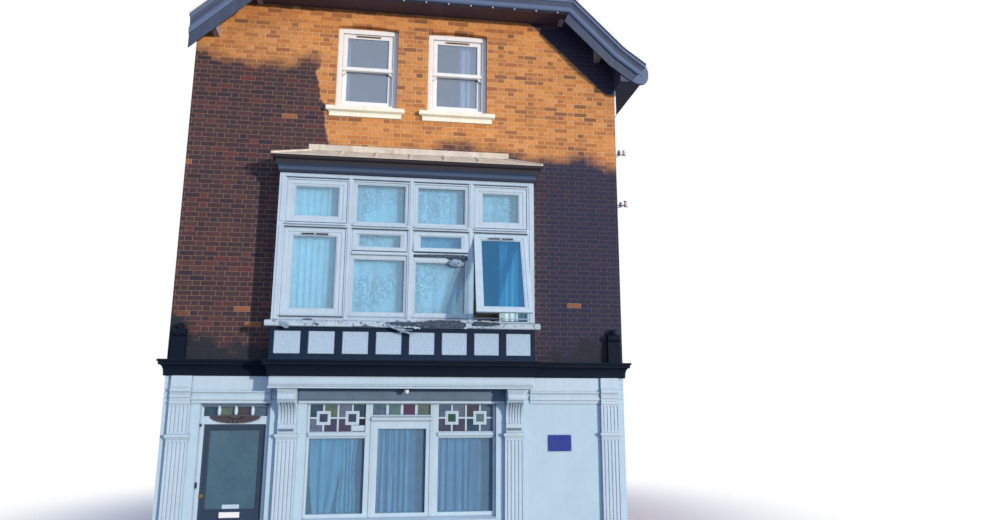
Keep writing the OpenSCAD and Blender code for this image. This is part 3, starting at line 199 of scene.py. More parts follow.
BOND = [
    ("course", "FLOOR", "rows", 0),
    ("odd", "MODULO", "course", 2),
    ("half", "MULTIPLY", "odd", 0.5),
    ("pairs", "DIVIDE", "across", STRETCHER + HEADER),
    ("run", "ADD", "pairs", "half"),
    ("pair", "FLOOR", "run", 0),
    ("part", "FRACT", "run", 0),
    ("along", "MULTIPLY", "part", STRETCHER + HEADER),
    ("header", "GREATER_THAN", "along", STRETCHER),
    ("start", "MULTIPLY", "header", STRETCHER),
    ("from_left", "SUBTRACT", "along", "start"),
    ("narrower", "MULTIPLY", "header", STRETCHER - HEADER),
    ("width", "SUBTRACT", STRETCHER, "narrower"),
    ("from_right", "SUBTRACT", "width", "from_left"),
    ("side", "MINIMUM", "from_left", "from_right"),
    ("level", "FRACT", "rows", 0),
    ("from_foot", "MULTIPLY", "level", COURSE),
    ("from_top", "SUBTRACT", COURSE, "from_foot"),
    ("bed", "MINIMUM", "from_foot", "from_top"),
    ("edge", "MINIMUM", "side", "bed"),
    ("twice", "MULTIPLY", "pair", 2),
    ("number", "ADD", "twice", "header"),
]


def bricks_at(tree, place, direction):
    """What the table says of a place: its course, the number of its brick, and how near the edge is."""
    # hand-made bricks have uneven edges, so the place is shifted by a few millimetres
    unevenness = add(tree, "TexNoise", {"Vector": place, "Scale": 24.0, "Detail": 2.0}).node.outputs["Color"]
    shift = add(tree, "VectorMath", {0: unevenness, 1: (0.5, 0.5, 0.5)}, operation="SUBTRACT")
    shift = add(tree, "VectorMath", {0: shift, "Scale": 0.007}, operation="SCALE")
    shifted = add(tree, "VectorMath", {0: place, 1: shift}, operation="ADD")
    spot = add(tree, "SeparateXYZ", {0: shifted}).node.outputs
    facing = add(tree, "SeparateXYZ", {0: direction}).node.outputs
    sideways = add(tree, "Math", {0: facing["X"]}, operation="ABSOLUTE")
    sideways = add(tree, "Math", {0: sideways, 1: 0.5}, operation="GREATER_THAN")
    bond = {
        "sideways": sideways,
        "across": add(tree, "Mix", {"Factor": sideways, "A": spot["X"], "B": spot["Y"]}, data_type="FLOAT"),
        "rows": add(tree, "Math", {0: spot["Z"], 1: COURSE}, operation="DIVIDE"),
    }
    for made, operation, a, b in BOND:
        bond[made] = add(tree, "Math", {0: bond.get(a, a), 1: bond.get(b, b)}, operation=operation)
    return bond


print("bond:", len(BOND), "steps, a pair of stretcher and header is", STRETCHER + HEADER, "m long")

# %% [markdown]
# A stock brick takes its colour from the clay and from its place in the kiln. A colour ramp gives each brick
# one of seven tones by its own number, a fine noise gives it grain, and a broader one mottles it. Painted
# shadow is laid over that: the shade on the lower front, deeper right of the bay, and the shadow of the
# right-hand verge. Its edges are ranges of height and width, made ragged by a slow noise.

# %% Colour and painted shadow of the bricks
def brick_colour(tree, place, own, grain, is_brick):
    """Fired clay and lime mortar, before any soot."""
    fired = ramp(tree, own, [(0.0, "90603E"), (0.06, "AE7042"), (0.25, "CE8444"), (0.5, "DE924A"),
                             (0.75, "E89C52"), (0.93, "EEA65E"), (1.0, "CE864C")])
    sandy = add(tree, "Mix", {"Factor": grain, "A": fired, "B": paint("6A3324")}, blend_type="MULTIPLY")
    sandy = add(tree, "Mix", {"Factor": 0.3, "A": fired, "B": sandy})
    # the fire and the weather have mottled each face in spots the size of a thumb
    mottled = add(tree, "TexNoise", {"Vector": place, "Scale": 21.0, "Detail": 6.0, "Roughness": 0.7})
    mottled = add(tree, "MapRange", {"Value": mottled, "From Min": 0.46, "From Max": 0.72, "To Max": 0.55})
    sandy = add(tree, "Mix", {"Factor": mottled, "A": sandy, "B": paint("86502E")})
    lime = ramp(tree, grain, [(0.3, "CDA272"), (0.7, "E8C99C")])
    return add(tree, "Mix", {"Factor": is_brick, "A": lime, "B": sandy})


def painted_shadow_on_wall(tree, spot, colour, own, patches, is_brick):
    """Painted shadow darkens the lower front: up to the head of the bay, and half a storey higher on the
    left.
    """
    wander = add(tree, "Math", {0: patches, 1: 1.1, 2: -0.55}, operation="MULTIPLY_ADD")
    wide_left = add(tree, "Math", {0: spot["X"], 1: wander}, operation="ADD")
    higher = add(tree, "MapRange", {"Value": wide_left, "From Min": -1.25, "From Max": -1.5, "To Max": 1.45},
                 interpolation_type="SMOOTHSTEP")
    lower = add(tree, "MapRange", {"Value": spot["X"], "From Min": 2.75, "From Max": 3.4, "To Max": 0.3})
    drift = add(tree, "Math", {0: spot["Z"], 1: wander}, operation="ADD")
    drift = add(tree, "Math", {0: drift, 1: higher}, operation="SUBTRACT")
    drift = add(tree, "Math", {0: drift, 1: lower}, operation="ADD")
    painted_shadow = add(tree, "MapRange", {"Value": drift, "From Min": 6.46, "From Max": 6.2})
    # each brick takes its own tone of painted shadow, and the joints take less than the bricks
    again = add(tree, "Math", {0: own, 1: 13.0}, operation="MULTIPLY")
    again = add(tree, "Math", {0: again}, operation="FRACT")
    shadow_tones = ramp(tree, again, [(0.0, "4C4E60"), (0.45, "5A5A6C"), (0.78, "68626E"), (0.93, "7E625E"),
                               (1.0, "90625A")])
    film = add(tree, "Mix", {"Factor": is_brick, "A": paint("A89A9E"), "B": shadow_tones})
    shadowed_colour = add(tree, "Mix", {"Factor": 1.0, "A": colour, "B": film}, blend_type="MULTIPLY")
    thick = add(tree, "MapRange", {"Value": is_brick, "To Min": 0.18, "To Max": 0.34})
    shadowed_colour = add(tree, "Mix", {"Factor": thick, "A": shadowed_colour, "B": paint("303655")})
    # right of the bay the painted shadow is deeper and bluer
    by_bay = add(tree, "MapRange", {"Value": spot["X"], "From Min": 1.6, "From Max": 2.3, "To Max": 0.84})
    in_joint = add(tree, "MapRange", {"Value": is_brick, "To Min": 0.68})
    by_bay = add(tree, "Math", {0: by_bay, 1: in_joint}, operation="MULTIPLY")
    shadowed_colour = add(tree, "Mix", {"Factor": by_bay, "A": shadowed_colour, "B": paint("1A2644")})
    # the painted shadow of the right-hand verge: its edge runs down to the corner
    below_verge = add(tree, "Math", {0: spot["X"], 1: 0.9385, 2: -10.537}, operation="MULTIPLY_ADD")
    below_verge = add(tree, "Math", {0: spot["Z"], 1: below_verge}, operation="ADD")
    above_foot = add(tree, "Math", {0: spot["Z"], 1: 7.487}, operation="SUBTRACT")
    verge_shadow = add(tree, "Math", {0: below_verge, 1: above_foot}, operation="MINIMUM")
    verge_shadow = add(tree, "MapRange", {"Value": verge_shadow, "From Min": -0.015, "From Max": 0.02})
    painted_shadow = add(tree, "Math", {0: painted_shadow, 1: verge_shadow}, operation="MAXIMUM")
    # here and there a brick takes less of the painted shadow
    brick_less_shadowed = add(tree, "MapRange", {"Value": own, "From Min": 0.987, "From Max": 0.988, "To Min": 1.0,
                                  "To Max": 0.55})
    # round the corners the painted shadow thins out within two metres
    inland = add(tree, "Math", {0: spot["Y"], 1: wander}, operation="ADD")
    inland = add(tree, "MapRange", {"Value": inland, "From Min": -2.0, "From Max": -3.6})
    for share in (brick_less_shadowed, inland):
        painted_shadow = add(tree, "Math", {0: painted_shadow, 1: share}, operation="MULTIPLY")
    return add(tree, "Mix", {"Factor": painted_shadow, "A": colour, "B": shadowed_colour})


def black_apron(tree, place, spot, colour, grain):
    """Old black paint above the cornice, higher towards the corners of the house."""
    out = add(tree, "Math", {0: spot["X"]}, operation="ABSOLUTE")
    rise = add(tree, "MapRange", {"Value": out, "From Min": 1.9, "From Max": 3.3, "To Min": 0.08,
                                  "To Max": 0.42})
    corner = add(tree, "MapRange", {"Value": spot["X"], "From Min": -3.1, "From Max": -3.4, "To Max": 0.42})
    rise = add(tree, "Math", {0: rise, 1: corner}, operation="ADD")
    ragged = add(tree, "TexNoise", {"Vector": place, "Scale": 3.1, "Detail": 8.0, "Roughness": 0.62})
    ragged = add(tree, "MapRange", {"Value": ragged, "From Min": 0.3, "From Max": 0.7, "To Min": -0.16,
                                    "To Max": 0.2})
    top = add(tree, "Math", {0: rise, 1: ragged}, operation="ADD")
    top = add(tree, "Math", {0: top, 1: CORNICE_TOP}, operation="ADD")
    covered = add(tree, "Math", {0: top, 1: spot["Z"]}, operation="SUBTRACT")
    covered = add(tree, "MapRange", {"Value": covered, "From Min": -0.05, "From Max": 0.13})
    front = add(tree, "Math", {0: spot["Y"], 1: -3.99}, operation="LESS_THAN")
    worn = add(tree, "MapRange", {"Value": grain, "From Min": 0.26, "From Max": 0.44, "To Min": 0.4})
    for share in (front, worn):
        covered = add(tree, "Math", {0: covered, 1: share}, operation="MULTIPLY")
    return add(tree, "Mix", {"Factor": covered, "A": colour, "B": paint("1C2430")})


# %% [markdown]
# One function puts a brick wall together. The upper walls are brick all over, the lower front has
# the remains of black paint above the cornice, and the beam over the shop is painted white below.
# The frame gives the inside of a wall the same finish as its outside, so the plaster of the rooms
# is laid on here too, wherever a place lies between the inner faces of the walls.

# %% Three kinds of brick wall
CORNICE_TOP = 2.966
ROOM_X, ROOM_Y = 3.1, 3.69


def brickwork(name, white_below=None, apron=False):
    """Bricks in Flemish bond, with plaster on the inside of the house."""
    material, tree, shader, place = finish_named(name)
    spot = add(tree, "SeparateXYZ", {0: place}).node.outputs
    bond = bricks_at(tree, place, place.node.outputs["Normal"])
    # from the joint to the face of a brick takes about 3 mm
    is_brick = add(tree, "MapRange", {"Value": bond["edge"], "From Min": JOINT * 0.3,
                                      "From Max": JOINT * 0.56})
    # under the eaves the joints have kept the orange dust of the bricks
    dusty = add(tree, "MapRange", {"Value": spot["Z"], "From Min": 8.25, "From Max": 8.5, "To Max": 0.7})
    is_brick = add(tree, "Math", {0: is_brick, 1: dusty}, operation="MAXIMUM")
    number = add(tree, "CombineXYZ", {"X": bond["number"], "Y": bond["course"], "Z": bond["sideways"]})
    own = add(tree, "TexWhiteNoise", {"Vector": number}, noise_dimensions="3D")
    # headers were nearest to the fire and came out darker
    burnt = add(tree, "Math", {0: bond["header"], 1: 0.03}, operation="MULTIPLY")
    own = add(tree, "Math", {0: own, 1: burnt}, operation="SUBTRACT")
    grain = add(tree, "TexNoise", {"Vector": place, "Scale": 170.0, "Detail": 5.0, "Roughness": 0.7})
    colour = brick_colour(tree, place, own, grain, is_brick)
    # soot and rain darken patches a metre or two across
    patches = add(tree, "TexNoise", {"Vector": place, "Scale": 0.9, "Detail": 6.0, "Roughness": 0.6})
    weather = add(tree, "MapRange", {"Value": patches, "From Min": 0.42, "From Max": 0.75, "To Max": 0.2})
    colour = add(tree, "Mix", {"Factor": weather, "A": colour, "B": paint("4A343A")})
    colour = painted_shadow_on_wall(tree, spot, colour, own, patches, is_brick)
    if white_below:
        low = add(tree, "Math", {0: spot["Z"], 1: white_below}, operation="LESS_THAN")
        # this white is tinted pale blue: painted shade
        colour = add(tree, "Mix", {"Factor": low, "A": colour, "B": paint("B6CFE0")})
    if apron:
        colour = black_apron(tree, place, spot, colour, grain)
    inner = []
    for axis, reach in (("X", ROOM_X), ("Y", ROOM_Y)):
        across = add(tree, "Math", {0: spot[axis]}, operation="ABSOLUTE")
        inner.append(add(tree, "Math", {0: across, 1: reach}, operation="LESS_THAN"))
    inside = add(tree, "Math", {0: inner[0], 1: inner[1]}, operation="MULTIPLY")
    colour = add(tree, "Mix", {"Factor": inside, "A": colour, "B": paint("CFCBC2")})

    relief = add(tree, "Math", {0: grain, 1: 0.28}, operation="MULTIPLY")
    relief = add(tree, "Math", {0: relief, 1: is_brick}, operation="ADD")
    outside = add(tree, "Math", {0: 1.0, 1: inside}, operation="SUBTRACT")
    relief = add(tree, "Math", {0: relief, 1: outside}, operation="MULTIPLY")
    feed(tree, shader, {"Base Color": colour, "Roughness": 0.88, "IOR": 1.5,
                        "Normal": add(tree, "Bump", {"Height": relief, "Distance": 0.006, "Strength": 0.9})})
    return material


brick = brickwork("stock_brick_in_lime_mortar")
brick_with_apron = brickwork("stock_brick_with_old_black_paint", apron=True)
brick_and_white = brickwork("stock_brick_painted_below", white_below=2.8)
print("brick walls:", brick.name + ",", brick_with_apron.name, "and", brick_and_white.name)

# %% [markdown]
# Most of the front is painted joinery. A painter's brush leaves fine lines, rain leaves grey runs below
# ledges, and old paint cracks and lets go of the wood. Corners are darkened by dust and by painted shade:
# Ambient Occlusion finds them, and each of the others is one noise at its own real scale.
# One function mixes them over the paint's colour, so that good and bad timber differ by a few
# numbers.

# %% Painted timber
def painted(name, coat, bare="6B5A48", grime="6F6A62", wear=0.0, runs=0.25, blotch=0.12, gloss=0.45,
            shine=0.5, boards=None):
    """Brushed paint. wear is the share that has peeled, shine how strongly it mirrors, 0.5 for new
    paint, and boards is (axis, width) of grooved boards."""
    material, tree, shader, place = finish_named(name)
    # brush marks, 4 mm apart and less
    brushed = add(tree, "VectorMath", {0: place, 1: (1.0, 1.0, 0.18)}, operation="MULTIPLY")
    marks = add(tree, "TexNoise", {"Vector": brushed, "Scale": 240.0, "Detail": 3.0, "Roughness": 0.6})
    clouds = add(tree, "TexNoise", {"Vector": place, "Scale": 3.4, "Detail": 7.0, "Roughness": 0.62})
    drained = add(tree, "VectorMath", {0: place, 1: (22.0, 22.0, 1.1)}, operation="MULTIPLY")
    streaks = add(tree, "TexNoise", {"Vector": drained, "Scale": 1.0, "Detail": 6.0, "Roughness": 0.6})
    corner = tree.nodes.new("ShaderNodeAmbientOcclusion")
    corner.samples = 4
    corner.inputs["Distance"].default_value = 0.035
    # dirt lies in clouds and in runs, and the corners are darkened by dust and by painted shade
    clouded = add(tree, "MapRange", {"Value": clouds, "From Min": 0.35, "From Max": 0.72, "To Max": blotch})
    washed = add(tree, "MapRange", {"Value": streaks, "From Min": 0.5, "From Max": 0.78, "To Max": runs})
    dusty = add(tree, "MapRange", {"Value": corner.outputs["AO"], "From Min": 0.35, "From Max": 0.9,
                                   "To Min": 0.75, "To Max": 0.0})
    colour = paint(coat)
    for share in (clouded, washed, dusty):
        colour = add(tree, "Mix", {"Factor": share, "A": colour, "B": paint(grime)})
    height = add(tree, "Math", {0: marks, 1: 0.12}, operation="MULTIPLY")
    if wear:
        # cracked paint lets go in flakes a few centimetres across
        flakes = add(tree, "TexNoise", {"Vector": place, "Scale": 11.0, "Detail": 9.0, "Roughness": 0.68,
                                        "Distortion": 0.6})
        peeled = add(tree, "MapRange", {"Value": flakes, "From Min": 0.74 - wear, "From Max": 0.755 - wear})
        wood = ramp(tree, marks, [(0.3, bare), (0.7, "8C8A84")])
        colour = add(tree, "Mix", {"Factor": peeled, "A": colour, "B": wood})
        height = add(tree, "Math", {0: height, 1: peeled}, operation="SUBTRACT")
    if boards:
        axis, width = boards
        spot = add(tree, "SeparateXYZ", {0: place}).node.outputs[axis]
        steps = add(tree, "Math", {0: spot, 1: width}, operation="DIVIDE")
        across = add(tree, "Math", {0: steps, 1: 0.5}, operation="PINGPONG")
        groove = add(tree, "MapRange", {"Value": across, "From Min": 0.0, "From Max": 0.05})
        board = add(tree, "Math", {0: steps}, operation="FLOOR")
        own = add(tree, "TexWhiteNoise", {"W": board}, noise_dimensions="1D")
        tone = add(tree, "MapRange", {"Value": own, "To Min": 0.0, "To Max": 0.3})
        colour = add(tree, "Mix", {"Factor": tone, "A": colour, "B": paint(grime)})
        colour = add(tree, "Mix", {"Factor": groove, "A": paint("1B1614"), "B": colour})
        height = add(tree, "Math", {0: height, 1: groove}, operation="ADD")
    rough = add(tree, "MapRange", {"Value": clouds, "To Min": gloss - 0.1, "To Max": gloss + 0.2})
    feed(tree, shader, {"Base Color": colour, "Roughness": rough, "IOR": 1.5, "Specular IOR Level": shine,
                        "Normal": add(tree, "Bump", {"Height": height, "Distance": 0.0012, "Strength": 0.8})})
    return material


white_gloss = painted("white_alkyd_gloss", "F0F1F1", runs=0.1, blotch=0.06)
# the whites of the bay and the shop front, down to masonry_white, are tinted pale blue: painted shade
weathered_white = painted("weathered_white_gloss", "BAD0E0", grime="5C6C7E", wear=0.05, runs=0.22,
                          blotch=0.14)
flaking_white = painted("flaking_white_gloss", "B6CCDC", bare="3C4650", grime="5C6A7A", wear=0.16, runs=0.3,
                        blotch=0.3)
shop_white = painted("white_shop_front_paint", "BAD1E0", grime="5C6E86", wear=0.015, runs=0.1)
masonry_white = painted("white_masonry_paint", "B4CFE0", grime="6E8296", runs=0.06, gloss=0.75)
# the black paints are tinted navy, a painted reflection of blue sky, and mirror only weakly; the cornice's
# coat is darker still
black_gloss = painted("black_gloss_on_timber", "16273E", bare="4C4E54", grime="2C4058", wear=0.045, runs=0.3,
                      gloss=0.62, shine=0.12)
cornice_black = painted("darker_black_gloss", "0D1827", bare="3C4048", grime="1E2A3C", wear=0.04, runs=0.2,
                        gloss=0.66, shine=0.1)
fascia_black = painted("faded_black_gloss", "2C3442", bare="5A5048", grime="4A4A4E", wear=0.05, runs=0.3,
                       gloss=0.6, shine=0.25)
stone_paint = painted("cream_paint_on_stone", "F8F5E2", grime="A39C84", blotch=0.14, gloss=0.6)
slate_blue = painted("slate_blue_gloss", "2E3B55", bare="6F6B66", grime="627190", wear=0.03, gloss=0.4)
soffit_brown = painted("purple_brown_boards", "4E465A", bare="6B5A4C", grime="2B2430", wear=0.03, gloss=0.55,
                       boards=("Y", 0.09))
bare_grey = painted("weathered_grey_undercoat", "9C94A0", bare="7A6658", grime="5E5660", wear=0.12, gloss=0.6)
door_plum = painted("plum_door_gloss", "26384E", bare="5C5048", grime="46587A", wear=0.01, runs=0.1,
                    gloss=0.3)
shell_brown = painted("brown_shell_paint", "4C484E", bare="7C766E", grime="302E34", wear=0.06, gloss=0.5)


def mix_second_colour(material, share, second):
    """Mixes a second colour over the colour that a paint has by now."""
    tree = material.node_tree
    shader = tree.nodes["Principled BSDF"]
    first = shader.inputs["Base Color"].links[0].from_socket
    feed(tree, shader, {"Base Color": add(tree, "Mix", {"Factor": share, "A": first, "B": second})})


# the bay's fascia is banded by height: dark navy at its foot, slate blue above it, brown-black at the top
tree = fascia_black.node_tree
place = add(tree, "TexCoord").node.outputs["Object"]
height = add(tree, "SeparateXYZ", {0: place}).node.outputs["Z"]
height = add(tree, "MapRange", {"Value": height, "From Min": 5.74, "From Max": 5.99})
bands = ramp(tree, height, [(0.0, "22304A"), (0.17, "26364E"), (0.2, "4C6280"), (0.46, "46597A"),
                            (0.5, "2A2A34"), (1.0, "3A3234")])
mix_second_colour(fascia_black, 0.75, bands)
# the raised parts of the verge moulding are paler than its hollow: a painted highlight
tree = slate_blue.node_tree
place = add(tree, "TexCoord").node.outputs["Object"]
depth = add(tree, "SeparateXYZ", {0: place}).node.outputs["Y"]
depth = add(tree, "Math", {0: depth}, operation="ABSOLUTE")
raised_highlight = add(tree, "MapRange", {"Value": depth, "From Min": 4.398, "From Max": 4.412, "To Max": 0.8})
mix_second_colour(slate_blue, raised_highlight, paint("586C90"))
print("paints with a second coat:", fascia_black.name, "and", slate_blue.name)

# %% [markdown]
# The other finishes each come from how the real surface was made. Clay tiles are pressed and
# fired, so each has its own colour, and lichen grows over them in spots. Sheet lead is dressed
# by hand and dulls to a pale grey. Roughcast is thrown gravel under limewash. Each one starts
# from typical values for that material.

# %% Clay, lead and the rest
def clay_tile():
    """Fired clay. Each loose piece of a mesh has its own colour."""
    material, tree, shader, place = finish_named("fired_clay_tile")
    own = tree.nodes.new("ShaderNodeNewGeometry").outputs["Random Per Island"]
    colour = ramp(tree, own, [(0.0, "5B3A33"), (0.2, "74463A"), (0.5, "8A5242"), (0.8, "9A6048"),
                              (1.0, "6A4C46")])
    sand = add(tree, "TexNoise", {"Vector": place, "Scale": 190.0, "Detail": 4.0})
    spots = add(tree, "TexNoise", {"Vector": place, "Scale": 9.0, "Detail": 9.0, "Roughness": 0.72})
    lichen = add(tree, "MapRange", {"Value": spots, "From Min": 0.57, "From Max": 0.66, "To Max": 0.8})
    moss = add(tree, "TexNoise", {"Vector": place, "Scale": 2.3, "Detail": 8.0, "Roughness": 0.66})
    moss = add(tree, "MapRange", {"Value": moss, "From Min": 0.54, "From Max": 0.72, "To Max": 0.75})
    for share, code in ((sand, "4A3632"), (moss, "5A5A3C"), (lichen, "A8A48C")):
        colour = add(tree, "Mix", {"Factor": share, "A": colour, "B": paint(code)})
    height = add(tree, "Math", {0: sand, 1: spots}, operation="ADD")
    feed(tree, shader, {"Base Color": colour, "Roughness": 0.85,
                        "Normal": add(tree, "Bump", {"Height": height, "Distance": 0.003, "Strength": 0.7})})
    return material


def speckled(name, stops, scale, depth, rough, metal=0.0, runs=0.0, run_colour="D8DCDF"):
    """A finish whose colour and relief follow a noise of scale per metre and one 14 times finer."""
    material, tree, shader, place = finish_named(name)
    coarse = add(tree, "TexNoise", {"Vector": place, "Scale": scale, "Detail": 8.0, "Roughness": 0.62})
    fine = add(tree, "TexNoise", {"Vector": place, "Scale": scale * 14, "Detail": 4.0})
    both = add(tree, "Mix", {"Factor": 0.35, "A": coarse, "B": fine}, data_type="FLOAT")
    colour = ramp(tree, both, stops)
    if runs:
        drained = add(tree, "VectorMath", {0: place, 1: (26.0, 26.0, 2.0)}, operation="MULTIPLY")
        streaks = add(tree, "TexNoise", {"Vector": drained, "Scale": 1.0, "Detail": 6.0})
        run = add(tree, "MapRange", {"Value": streaks, "From Min": 0.5, "From Max": 0.75, "To Max": runs})
        colour = add(tree, "Mix", {"Factor": run, "A": colour, "B": paint(run_colour)})
    feed(tree, shader, {"Base Color": colour, "Roughness": rough, "Metallic": metal,
                        "Normal": add(tree, "Bump", {"Height": both, "Distance": depth, "Strength": 0.8})})
    return material


tile = clay_tile()
lead = speckled("dressed_sheet_lead", [(0.3, "A39C94"), (0.5, "C9C0B2"), (0.72, "E4DCCB")], 5.0, 0.004, 0.6,
                metal=0.1, runs=0.4, run_colour="EFE7D6")
# the limewash is tinted pale blue: painted shade
roughcast = speckled("limewashed_roughcast", [(0.3, "8197AC"), (0.45, "A4BED4"), (0.7, "BCD2E4")],
                     60.0, 0.006, 0.9)
brass = speckled("worn_brass", [(0.3, "A88B4A"), (0.7, "C9AE68")], 20.0, 0.0004, 0.34, metal=1.0)
steel = speckled("zinc_plated_steel", [(0.3, "8C8F92"), (0.7, "AEB1B3")], 25.0, 0.0004, 0.4, metal=1.0)
gutter_iron = painted("grey_gutter_paint", "5A6068", bare="6A4A3A", wear=0.05, gloss=0.5)
floor_boards = painted("worn_floor_boards", "8A6B4C", grime="4A3828", gloss=0.5, boards=("X", 0.14))
concrete = speckled("weathered_concrete", [(0.3, "7C7A76"), (0.5, "96938E"), (0.7, "AAA7A1")],
                    14.0, 0.004, 0.85, runs=0.2, run_colour="5E5B56")
glazed = speckled("glazed_porcelain", [(0.3, "C9B4AE"), (0.7, "E4D6D0")], 12.0, 0.0008, 0.22)
print("finishes so far:", len(bpy.data.materials))

# %% [markdown]
# Window glass is clear, but it has a film of dust and it is not quite flat, so that it mirrors in waves. A
# Principled shader with Transmission gives both, and the share that it doesn't let through shows its pale
# blue colour: a veil of dust and of painted sky reflection. Its shadow would be black without caustics, so a
# ray that looks for a lamp meets a Transparent shader instead. The pane of the open casement, and half as
# strongly the small vent beside it, carry a bluer painted sky reflection.

# %% Glass
SKY_PANE_LEFT, SKY_PANE_TOP = 0.97, 4.92
VENT_LEFT, VENT_BOTTOM = 0.05, 4.52


def dusty_glass_with_sky_veil(name, tint, clear, film_to=0.16, sky_tint=None):
    """Float glass with a film of dust, up to a roughness of film_to. sky_tint is a painted sky reflection on
    one pane.
    """
    material, tree, shader, place = finish_named(name)
    film = add(tree, "TexNoise", {"Vector": place, "Scale": 5.0, "Detail": 8.0, "Roughness": 0.65})
    film = add(tree, "MapRange", {"Value": film, "To Min": film_to / 4, "To Max": film_to})
    # old panes are not quite flat: their waves are about 0.3 m apart
    waves = add(tree, "TexNoise", {"Vector": place, "Scale": 3.5, "Detail": 1.0})
    bump = add(tree, "Bump", {"Height": waves, "Distance": 0.002, "Strength": 0.3})
    feed(tree, shader, {"Base Color": paint(tint), "Roughness": film, "IOR": 1.5,
                        "Transmission Weight": clear, "Normal": bump})
    if sky_tint:
        spot = add(tree, "SeparateXYZ", {0: place}).node.outputs
        to_right = add(tree, "Math", {0: spot["X"], 1: SKY_PANE_LEFT}, operation="GREATER_THAN")
        below = add(tree, "Math", {0: spot["Z"], 1: SKY_PANE_TOP}, operation="LESS_THAN")
        sky_share = add(tree, "Math", {0: to_right, 1: below}, operation="MULTIPLY")
        # the pane of the small vent beside it gets the painted sky reflection half as strongly
        vent = add(tree, "Math", {0: spot["X"], 1: VENT_LEFT}, operation="GREATER_THAN")
        above = add(tree, "Math", {0: spot["Z"], 1: VENT_BOTTOM}, operation="GREATER_THAN")
        for share in (above, below, 0.5):
            vent = add(tree, "Math", {0: vent, 1: share}, operation="MULTIPLY")
        sky_share = add(tree, "Math", {0: sky_share, 1: vent}, operation="MAXIMUM")
        tints = add(tree, "Mix", {"Factor": sky_share, "A": paint(tint), "B": paint(sky_tint)})
        weight = add(tree, "MapRange", {"Value": sky_share, "To Min": clear, "To Max": 0.74})
        sky_reflection = add(tree, "Mix", {"Factor": sky_share, "A": paint("FFFFFF"), "B": paint("4A90D0")})
        feed(tree, shader, {"Base Color": tints, "Transmission Weight": weight, "Specular Tint": sky_reflection})
    lamp_ray = tree.nodes.new("ShaderNodeLightPath").outputs["Is Shadow Ray"]
    through = add(tree, "BsdfTransparent", {"Color": paint("E4EAEC")})
    both = add(tree, "MixShader", {0: lamp_ray, 1: shader.outputs[0], 2: through})
    feed(tree, tree.nodes["Material Output"], {"Surface": both})
    return material


pane_glass = dusty_glass_with_sky_veil("float_glass_with_dust_and_sky_veil", "B6C8E2", 0.72)
bay_pane = dusty_glass_with_sky_veil("blue_tinted_float_glass", "A6CDE6", 0.8, film_to=0.02, sky_tint="5AA0CE")
shop_glass = dusty_glass_with_sky_veil("shop_plate_glass", "9EC4E0", 0.82, film_to=0.04)
obscure_glass = speckled("obscured_door_glass", [(0.3, "3E596C"), (0.5, "466476"), (0.7, "4E6E80")],
                         3.0, 0.0006, 0.2)
print("glass:", ", ".join(glass.name for glass in (pane_glass, bay_pane, shop_glass, obscure_glass)))

# %% [markdown]
# Curtains are cotton and the nets of the bay are polyester, both in plain weave. Two crossed Wave textures
# give the threads, coarser than life. A gathered cloth has vertical streaks of painted shade and painted
# highlight, as its folds would have, which a noise drawn out from rail to hem gives, and a net that hangs
# slack against the glass has crossing creases of painted shade and highlight along the edges of Voronoi cells
# in three sizes.

# %% Cloth
# a Wave texture of scale 1 repeats every 2 pi / 20 m
WAVE_LENGTH, THREAD_SPACING = 2 * math.pi / 20, 0.00658


